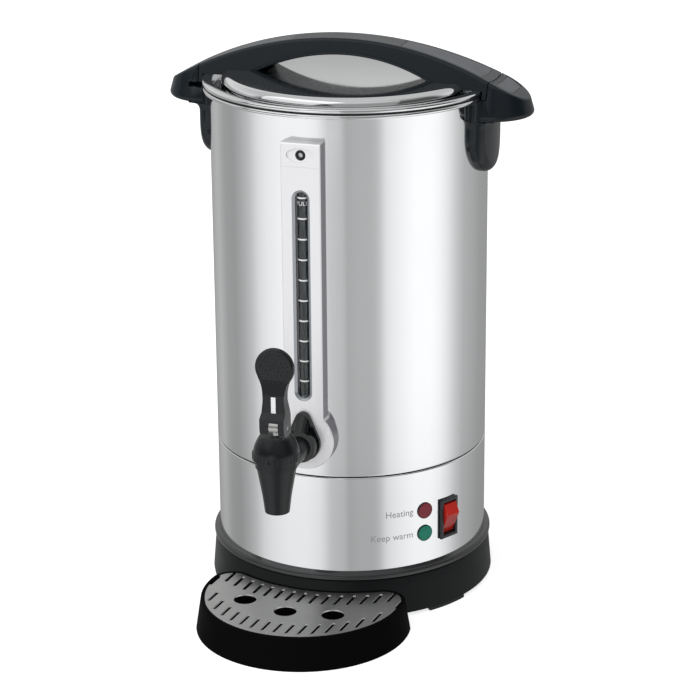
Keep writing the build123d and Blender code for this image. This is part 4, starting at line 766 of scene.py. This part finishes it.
@dataclass
class Gauge:
    """Level gauge: lacquered housing and cap, sight tube with its marks, and the cap's screw."""

    tube_y: float = -106.8
    tube_r: float = 4.0
    tube_z: tuple[float, float] = field(default_factory=lambda: span("gauge_tube"))
    lining_turn: float = 236.0
    first_mark: float = 188.5
    mark_pitch: float = 15.1
    marks: int = 10
    mark_h: float = 1.1
    mark_turn: float = 112.0
    full_size: float = 4.4
    full_azimuth: float = 8.0
    full_drop: float = 4.2
    slot_z: tuple[float, float] = (175.5, 328.5)
    slot_reach: float = 8.0
    bevel_y: float = -109.5
    head_r: float = 3.3
    head_front_y: float = -111.15
    head_t: float = 0.7
    cross: tuple[float, float] = (3.6, 0.8)
    cross_turn: float = 0.4
    # A thin black ring round the screw's head: painted shadow of the recess it sits in.
    shadow_ring_r: tuple[float, float] = (1.7, 3.75)
    shadow_ring_t: float = 0.2

    def build(self) -> None:
        """Builds the gauge from the wall outwards."""
        for node in ("gauge_housing", "gauge_cap"):
            self.lacquered(node)
        dressed("gauge_tube", SIGHT_GLASS)
        self.lining()
        self.scale_marks()
        self.screw()

    def lacquered(self, node: str) -> None:
        """A moulding of the gauge by finish: its sprayed front, which stands for it, and its edge and bevel,
        whose darker greys are painted shade.
        """
        whole = merged(node, 0.25)
        whole.normal_update()
        for part, finish in (("front", SILVER_ABS), ("edge", SHADED_EDGE_ABS), ("bevel", SHADED_BEVEL_ABS)):
            bm = share(whole, lambda f: self.part_of(f) == part)
            if bm.faces:
                piece(f"{node}_{part}", bm, finish, body_of(node), [node] if part == "front" else [])
            else:
                bm.free()
        whole.free()

    def part_of(self, face: BMFace) -> str:
        """Which part of the moulding a face is: the edge along its outline, the slot's bevel or the front."""
        middle = face.calc_center_median() / MM
        low, high = self.slot_z
        outlying = abs(middle.x) > self.slot_reach or middle.z < low - self.slot_reach
        if outlying and abs(face.normal.y) < 0.6 and face.normal.z < 0.7:
            return "edge"
        by_slot = not outlying and middle.z < high + self.slot_reach and middle.y < self.bevel_y
        return "bevel" if by_slot and -0.96 < face.normal.y < -0.1 else "front"

    def arc(self, radii: tuple[float, float], heights: tuple[float, float], turn: float,
            middle: float) -> BMesh:
        """A closed curved strip about the sight tube.

        Args:
            radii: inner and outer radius.
            heights: of its lower and upper edge.
            turn: how many degrees it covers.
            middle: degrees from the front at its middle.

        Returns:
            The strip.
        """
        bm = bmesh.new()
        a = math.radians(middle - 90 - turn / 2)
        section = [(r, z) for r, z in zip((*radii, *radii[::-1]), sorted(heights * 2))]
        bm.faces.new([bm.verts.new((r * math.cos(a) * MM, r * math.sin(a) * MM, z * MM)) for r, z in section])
        bmesh.ops.spin(bm, geom=bm.verts[:] + bm.edges[:] + bm.faces[:], cent=(0, 0, 0), axis=(0, 0, 1),
                       angle=math.radians(turn), steps=max(int(turn / 9), 4), use_duplicate=False)
        bmesh.ops.holes_fill(bm, edges=[e for e in bm.edges if e.is_boundary], sides=4)
        tidy(bm)
        return placed(bm, shift(y=self.tube_y))

    def lining(self) -> None:
        """The dark strip that hugs the back of the tube."""
        low, high = self.tube_z
        r = self.tube_r
        strip = self.arc((r + 0.04, r + 0.2), (low + 1, high - 1), self.lining_turn, 180.0)
        piece("gauge_lining", strip, GAUGE_DARK)

    def scale_marks(self) -> None:
        """White level marks printed round the front of the tube, and the word below the top one."""
        parts = []
        for i in range(self.marks):
            z = self.first_mark + i * self.mark_pitch
            parts.append(self.arc((self.tube_r + 0.02, self.tube_r + 0.12),
                                  (z - self.mark_h / 2, z + self.mark_h / 2), self.mark_turn, 0.0))
        full = lettering("FULL", self.full_size, "CENTER")
        wrap(full, self.tube_r + 0.1, self.full_azimuth)
        full_z = self.first_mark + (self.marks - 1) * self.mark_pitch - self.full_drop
        parts.append(placed(full, shift(0, self.tube_y, full_z)))
        piece("gauge_marks", joined(parts), WHITE_MARK)

    def screw(self) -> None:
        """The cap's screw: a low round head with a cross recess, its shank, and a thin black ring round its
        head that is painted shadow of the recess it sits in.
        """
        head = turned([Corner(0, 0), Corner(self.head_r, 0), Corner(self.head_r, self.head_t * 0.4, 0.2, 3),
                       Corner(self.head_r * 0.5, self.head_t), Corner(0, self.head_t * 1.02)], 48)
        cross = [placed(bar(*self.cross, 1.0), Matrix.Rotation(turn, 4, "Z") @ shift(z=self.head_t))
                 for turn in (self.cross_turn, self.cross_turn + math.pi / 2)]
        head = cut(head, [joined(cross)])
        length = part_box("gauge_screw")[1].y / MM - self.head_front_y - self.head_t / 2
        shank = rod(2.0, length, 24, -length)
        face = shift(0, self.head_front_y + self.head_t, CAP_SCREW_Z) @ UPRIGHT
        piece("gauge_screw_turned", placed(joined([head, shank]), face), ZINC_STEEL, "urn", ["gauge_screw"])
        # The black ring round the head is painted shadow of its recess.
        inner, outer = self.shadow_ring_r
        shadow_ring = turned([Corner(inner, 0), Corner(outer, 0), Corner(outer, self.shadow_ring_t, 0.08, 2),
                          Corner(inner, self.shadow_ring_t, 0.08, 2)], 64)
        piece("gauge_screw_shadow_ring", placed(shadow_ring, shift(y=-0.02 - self.head_t) @ face), RUBBER)


@dataclass
class Tap:
    """Self-closing tap: body, boss, bonnet, lever and the parts inside."""

    axis_y: float = -171.0
    paddle_z: float = 218.8
    paddle_t: float = 5.0
    pip_rings: tuple[tuple[float, int], ...] = ((0.0, 1), (3.4, 6), (6.7, 12), (10.0, 18))
    pip_r: float = 0.95
    pip_flatness: float = 0.75
    bonnet_r: float = 16.2
    band_r: float = 16.75
    band_z: tuple[float, float] = (151.8, 157.2)
    pointer_r: tuple[float, float] = (4.6, 1.4)
    pointer_h: float = 14.0
    pointer_z: float = 159.6
    pointer_lean: float = -12.0

    def build(self) -> None:
        """Dresses the tap, which the shells don't mirror, and adds its grip pips, pointer and band."""
        for made in (dressed("tap_body", TAP_BLACK, 0.3), dressed("tap_bonnet", TAP_BLACK),
                     dressed("tap_lever", TAP_BLACK, 0.5), dressed("lever_marker", WHITE_MARK, 0.1),
                     self.paddle_face(), self.pointer(), self.grip_band()):
            made.visible_glossy = False
        dressed("tap_flange", BOSS_BLACK, 0.4)

    def grip_band(self) -> Object:
        """The band between the bonnet's ribs, which leaves only their tips proud."""
        low, high = self.band_z
        inner, outer = self.bonnet_r - 0.6, self.band_r
        band = turned([Corner(inner, low), Corner(outer, low, 0.25, 3), Corner(outer, high, 0.25, 3),
                       Corner(inner, high)], 128)
        return piece("bonnet_band", placed(band, shift(y=self.axis_y)), TAP_BLACK)

    def paddle_face(self) -> Object:
        """The raised rim of the paddle and the pips that the finger presses, on its front."""
        parts = [turned([Corner(12.0, -0.2), Corner(12.0, 0.45, 0.3, 3), Corner(13.2, 0.45, 0.3, 3),
                         Corner(13.4, -0.4)], 96)]
        for ring, count in self.pip_rings:
            for i in range(count):
                a = math.tau * (i + 0.5) / count
                bm = bmesh.new()
                bmesh.ops.create_uvsphere(bm, u_segments=12, v_segments=8, radius=self.pip_r * MM,
                                          matrix=shift(ring * math.cos(a), ring * math.sin(a)))
                bmesh.ops.scale(bm, vec=(1, 1, self.pip_flatness), verts=bm.verts[:])
                parts.append(bm)
        face = shift(0, self.axis_y - self.paddle_t / 2, self.paddle_z) @ UPRIGHT
        return piece("paddle_grip", placed(joined(parts), face), TAP_BLACK, "tap_lever")

    def pointer(self) -> Object:
        """The small ridge down the bonnet's front, which shows how far it is screwed on."""
        low_r, high_r = self.pointer_r
        bm = bmesh.new()
        bmesh.ops.create_cone(bm, cap_ends=True, segments=4, radius1=low_r * MM, radius2=high_r * MM,
                              depth=self.pointer_h * MM)
        bmesh.ops.scale(bm, vec=(0.9, 0.62, 1), verts=bm.verts[:])
        bevelled(bm, bm.edges[:], 0.35, 3)
        lean = Matrix.Rotation(math.radians(self.pointer_lean), 4, "X")
        place = shift(0, self.axis_y - self.bonnet_r + 2.6, self.pointer_z)
        return piece("bonnet_pointer", placed(bm, place @ lean), TAP_BLACK)


@dataclass
class Controls:
    """Lamps, switch, inlet and the words beside the lamps."""

    lamps: tuple[tuple[str, str], ...] = (("heating_lamp", "Heating"), ("keep_warm_lamp", "Keep warm"))
    lamp_r: float = 6.2
    lamp_proud: float = 1.25
    word_size: float = 7.1
    word_gap: float = 3.6
    word_rise: float = 0.7

    def build(self) -> None:
        """Builds the lenses and the words, and dresses the switch and the inlet."""
        for (node, word), z, finish in zip(self.lamps, LAMP_Z, (RED_LENS, GREEN_LENS)):
            self.lens(node, z, finish)
            self.printed(word, z)
        dressed("switch_housing", SWITCH_BLACK, 0.3)
        dressed("switch_rocker", ROCKER_RED, 0.35)
        dressed("appliance_inlet", SWITCH_BLACK, 0.4)

    def lens(self, node: str, z: float, finish: Finish) -> None:
        """One lamp's lens, a low dome closed at the back, and the dark rim round it."""
        r, top = self.lamp_r, self.lamp_proud
        place = on_wall(LAMP_AZIMUTH, z)
        dome = turned([Corner(0, 0.05), Corner(r, 0.05), Corner(r, top * 0.55, 0.3, 3),
                       Corner(r - 0.5, top * 0.8), Corner(r * 0.8, top * 0.92), Corner(r * 0.45, top * 0.985),
                       Corner(0, top)], 96)
        piece(f"{node}_lens", placed(dome, place), finish, "urn", [node])
        rim = turned([Corner(r - 0.3, 0.1), Corner(r + 0.06, 0.1), Corner(r + 0.06, 0.75, 0.1, 2),
                      Corner(r - 0.3, 1.04, 0.1, 2)], 96)
        piece(f"{node}_rim", placed(rim, place), SWITCH_BLACK)

    def printed(self, word: str, z: float) -> None:
        """A printed word left of a lamp, laid on the curve of the shell."""
        bm = placed(lettering(word, self.word_size, "RIGHT"), shift(-self.lamp_r - self.word_gap))
        wrap(bm, SHELL_R + 0.06, LAMP_AZIMUTH)
        name = f"{word.replace(' ', '_').lower()}_print"
        piece(name, placed(bm, shift(z=z + self.word_rise)), PRINT_GREY)


@dataclass
class Tray:
    """Loose drip tray and its punched grate."""

    def build(self) -> None:
        """Dresses the tray's moulding and the grate, which the shells don't mirror."""
        for made in (dressed("drip_tray", TRAY_BLACK, 0.6), dressed("drip_grate", GRATE_STEEL, 0.18)):
            made.visible_glossy = False


def dress_the_rest() -> None:
    """Gives every CAD node that still shows the finish of its own material slot."""
    by_slot = {finish.slot: finish for finish in FINISHES}
    slots = {node: row["slot"] for row in frame["record"]["materials"] for node in row.get("nodes", [])}
    for name, node in NODES.items():
        if node.hide_render:
            continue
        old = node.data.materials[0].name.split(".")[0] if node.data.materials else ""
        finish = by_slot.get(slots.get(name, old), MOULDED_BLACK)
        node.data.materials.clear()
        node.data.materials.append(finish.material())
        log.info("%s: CAD node in %s", name, finish.name)


# ---- studio ----
# The light round the horizon that the polished shells mirror: degrees from the camera's side, clockwise from
# above, and a level where 1 is white. Two long softboxes stand left and right of the camera with a dark gap
# between them, and dark flags stand beside the urn.
HORIZON: tuple[tuple[float, float], ...] = (
    (-180, 0.30), (-142, 0.51), (-126, 0.38), (-112, 0.36), (-101, 0.46), (-91, 0.60), (-82, 0.83),
    (-73, 0.96), (-57, 1.07), (-40, 1.08), (-34, 1.03), (-27, 0.97), (-22, 0.80), (-18, 0.66), (-6, 0.58),
    (-3, 0.47),
    (6, 0.51), (18, 0.52), (22, 0.58), (25, 0.68), (29, 0.88), (33, 0.96), (40, 1.05), (48, 1.13), (55, 1.19),
    (71, 1.19), (80, 1.10), (89, 0.92), (98, 0.69), (109, 0.51), (138, 0.37), (180, 0.30))


@dataclass
class Studio:
    """Camera, pale worktop and soft light.

    A ceiling's stops are how high a direction points, from 0 at the horizon to 1 overhead, and a level. The
    edges are where one light gives way to the next, also by how high a direction points.
    """

    camera_azimuth: float = 18.0
    camera_at: tuple[float, float, float] = (0.53306, -1.64057, 0.7633)
    camera_tilt: float = math.pi / 2 - 0.3282
    camera_turn: float = 0.31416 - 0.0231
    lens: float = 123.02
    shift: float = -0.0764
    horizon_scale: float = 1.25
    low_share: float = 0.88
    low_edge: tuple[float, float] = (-0.39, -0.33)
    back_ceiling: tuple[tuple[float, float], ...] = (
        (0.203, 0.40), (0.218, 0.66), (0.35, 0.75), (0.7, 0.55), (1.0, 0.62))
    back_edge: tuple[float, float] = (0.02, 0.15)
    front_ceiling: tuple[tuple[float, float], ...] = ((0.0, 0.07), (0.6, 0.10), (0.85, 0.5), (1.0, 0.62))
    front_edge: tuple[float, float] = (-0.21, -0.13)
    strip_lamp: tuple[float, float] = (-34.0, -7.5)
    strip_level: float = 1.35
    window: tuple[float, float, float] = (-0.42, -0.80, 0.43)
    fill: tuple[float, float] = (0.22, 1.25)
    floor_size: float = 8.0
    floor_glow: float = 2.1
    lamp_size: float = 2.4
    aim: tuple[float, float, float] = (0.0, 0.0, 0.2)

    def build(self) -> None:
        """Builds the whole studio."""
        self.camera()
        self.world()
        self.worktop()
        self.lamps()
        bpy.context.scene.view_settings.view_transform = "Standard"

    def camera(self) -> None:
        """The camera, level with the rim of the lid and a little to the right."""
        data = bpy.data.cameras.new("camera")
        data.sensor_width = 36.0
        data.lens = self.lens
        data.shift_x = self.shift
        data.clip_start, data.clip_end = 0.05, 50.0
        camera = bpy.data.objects.new("camera", data)
        camera.location = self.camera_at
        camera.rotation_euler = (self.camera_tilt, 0, self.camera_turn)
        bpy.context.scene.collection.objects.link(camera)
        bpy.context.scene.camera = camera

    def world(self) -> None:
        """Softboxes, ceiling and fill light; the backdrop itself is white."""
        world = bpy.data.worlds.new("soft_studio")
        bpy.context.scene.world = world
        world.use_nodes = True
        tree = world.node_tree
        tree.nodes.clear()
        direction = add_node(tree, "ShaderNodeTexCoord").outputs["Generated"]
        rays = add_node(tree, "ShaderNodeLightPath").outputs
        lit = mixed(tree, rays["Is Glossy Ray"], self.fill_light(tree, direction),
                    self.mirrored_light(tree, direction))
        direct = worked_out(tree, "MAXIMUM", rays["Is Camera Ray"], rays["Is Transmission Ray"])
        background = add_node(tree, "ShaderNodeBackground", inputs={
            "Color": mixed(tree, direct, lit, (1, 1, 1, 1)), "Strength": 1.0})
        add_node(tree, "ShaderNodeOutputWorld", inputs={"Surface": background.outputs["Background"]})

    def fill_light(self, tree: NodeTree, direction: NodeSocket) -> NodeSocket:
        """The light that matt surfaces gather: a broad window in front and to the left, and a weak fill."""
        return self.step(tree, self.along(tree, direction, self.window), -0.35, 0.65, self.fill)

    def mirrored_light(self, tree: NodeTree, direction: NodeSocket) -> NodeSocket:
        """What polished surfaces mirror: the horizon's softboxes below a ceiling, which is dark low on the
        camera's side, and one lamp that stands up into that dark."""
        height = add_node(tree, "ShaderNodeSeparateXYZ", inputs={"Vector": direction}).outputs["Z"]
        turned_round = add_node(tree, "ShaderNodeMapping", {"vector_type": "POINT"}, {
            "Vector": direction, "Rotation": (0, 0, math.radians(90 - self.camera_azimuth))})
        azimuth = add_node(tree, "ShaderNodeTexGradient", {"gradient_type": "RADIAL"}, {
            "Vector": turned_round.outputs["Vector"]}).outputs["Fac"]
        stops = [(a / 360 + 0.5, level / self.horizon_scale) for a, level in HORIZON]
        horizon = self.ramp(tree, azimuth, stops)
        low_start, low_end = self.low_edge
        low_light = add_node(tree, "ShaderNodeMapRange", inputs={
            "Value": height, "From Min": low_start, "From Max": low_end,
            "To Min": self.low_share * self.horizon_scale, "To Max": self.horizon_scale})
        around = add_node(tree, "ShaderNodeVectorMath", {"operation": "SCALE"}, {
            0: horizon, "Scale": low_light.outputs["Result"]}).outputs["Vector"]
        back, front = [mixed(tree, self.step(tree, height, *edge), around, self.ramp(tree, height, ceiling))
                       for ceiling, edge in ((self.back_ceiling, self.back_edge),
                                             (self.front_ceiling, self.front_edge))]
        toward = math.radians(self.camera_azimuth)
        nearness = self.along(tree, direction, (math.sin(toward), -math.cos(toward), 0))
        room = mixed(tree, self.step(tree, nearness, -0.2, 0.1), back, front)
        left, right = [a / 360 + 0.5 for a in self.strip_lamp]
        lamp = self.step(tree, azimuth, left - 0.02, left)
        for value, start, end in ((azimuth, right + 0.003, right), (height, -0.22, -0.2),
                                  (height, 0.06, 0.0)):
            lamp = worked_out(tree, "MULTIPLY", lamp, self.step(tree, value, start, end))
        return mixed(tree, lamp, room, (self.strip_level,) * 3 + (1,))

    def along(self, tree: NodeTree, direction: NodeSocket, axis: tuple[float, float, float]) -> NodeSocket:
        """How far a direction points along an axis."""
        return add_node(tree, "ShaderNodeVectorMath", {"operation": "DOT_PRODUCT"}, {
            0: direction, 1: axis}).outputs["Value"]

    def step(self, tree: NodeTree, value: NodeSocket, start: float, end: float,
             levels: tuple[float, float] = (0.0, 1.0)) -> NodeSocket:
        """A soft step of a value from one level at start to another at end."""
        return add_node(tree, "ShaderNodeMapRange", {"interpolation_type": "SMOOTHSTEP"}, {
            "Value": value, "From Min": start, "From Max": end,
            "To Min": levels[0], "To Max": levels[1]}).outputs["Result"]

    def ramp(self, tree: NodeTree, value: NodeSocket, stops: Sequence[tuple[float, float]]) -> NodeSocket:
        """Grey levels that follow a value by their stops."""
        node = add_node(tree, "ShaderNodeValToRGB", inputs={"Fac": value})
        elements = node.color_ramp.elements
        for place, _ in stops[2:]:
            elements.new(place)
        for element, (place, level) in zip(elements, stops):
            element.position = place
            element.color = (level, level, level, 1)
        return node.outputs["Color"]

    def worktop(self) -> None:
        """A pale worktop that keeps the urn's shadow and runs out into the white backdrop."""
        bm = bmesh.new()
        bmesh.ops.create_grid(bm, x_segments=1, y_segments=1, size=self.floor_size / 2)
        mesh = bpy.data.meshes.new("worktop")
        bm.to_mesh(mesh)
        bm.free()
        material = bpy.data.materials.new("pale_worktop")
        material.use_nodes = True
        tree = material.node_tree
        tree.nodes.clear()
        rays = add_node(tree, "ShaderNodeLightPath").outputs
        lit = add_node(tree, "ShaderNodeBsdfDiffuse", inputs={"Color": (0.82, 0.82, 0.82, 1)})
        glow = worked_out(tree, "MULTIPLY", rays["Is Camera Ray"], self.floor_glow)
        white = add_node(tree, "ShaderNodeEmission", inputs={"Color": (1, 1, 1, 1), "Strength": glow})
        lift = add_node(tree, "ShaderNodeMixShader", inputs={
            0: 0.35, 1: lit.outputs["BSDF"], 2: white.outputs["Emission"]})
        add_node(tree, "ShaderNodeOutputMaterial", inputs={"Surface": lift.outputs["Shader"]})
        mesh.materials.append(material)
        floor = bpy.data.objects.new("worktop", mesh)
        bpy.context.scene.collection.objects.link(floor)
        floor.visible_glossy = False

    def lamps(self) -> None:
        """Two large soft lamps overhead, which shape the mouldings without hard shadows."""
        for name, at, power in (("key_lamp", (-1.1, -1.3, 1.9), 13.0), ("fill_lamp", (1.0, -1.6, 1.5), 4.0)):
            data = bpy.data.lights.new(name, "AREA")
            data.shape = "SQUARE"
            data.size = self.lamp_size
            data.energy = power
            lamp = bpy.data.objects.new(name, data)
            lamp.location = at
            lamp.rotation_euler = (Vector(self.aim) - Vector(at)).to_track_quat("-Z", "Y").to_euler()
            bpy.context.scene.collection.objects.link(lamp)


def main() -> None:
    """Builds the studio and every sub-assembly, and dresses the CAD nodes that still show."""
    logging.basicConfig(level=logging.INFO, format="%(name)s: %(message)s")
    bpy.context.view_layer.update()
    Studio().build()
    assemblies: list[Callable[[], None]] = [
        Shells().build, Base().build, Handles().build, Gauge().build, Tap().build, Controls().build,
        Tray().build]
    for build in assemblies:
        build()
    dress_the_rest()


if __name__ == "__main__":
    main()
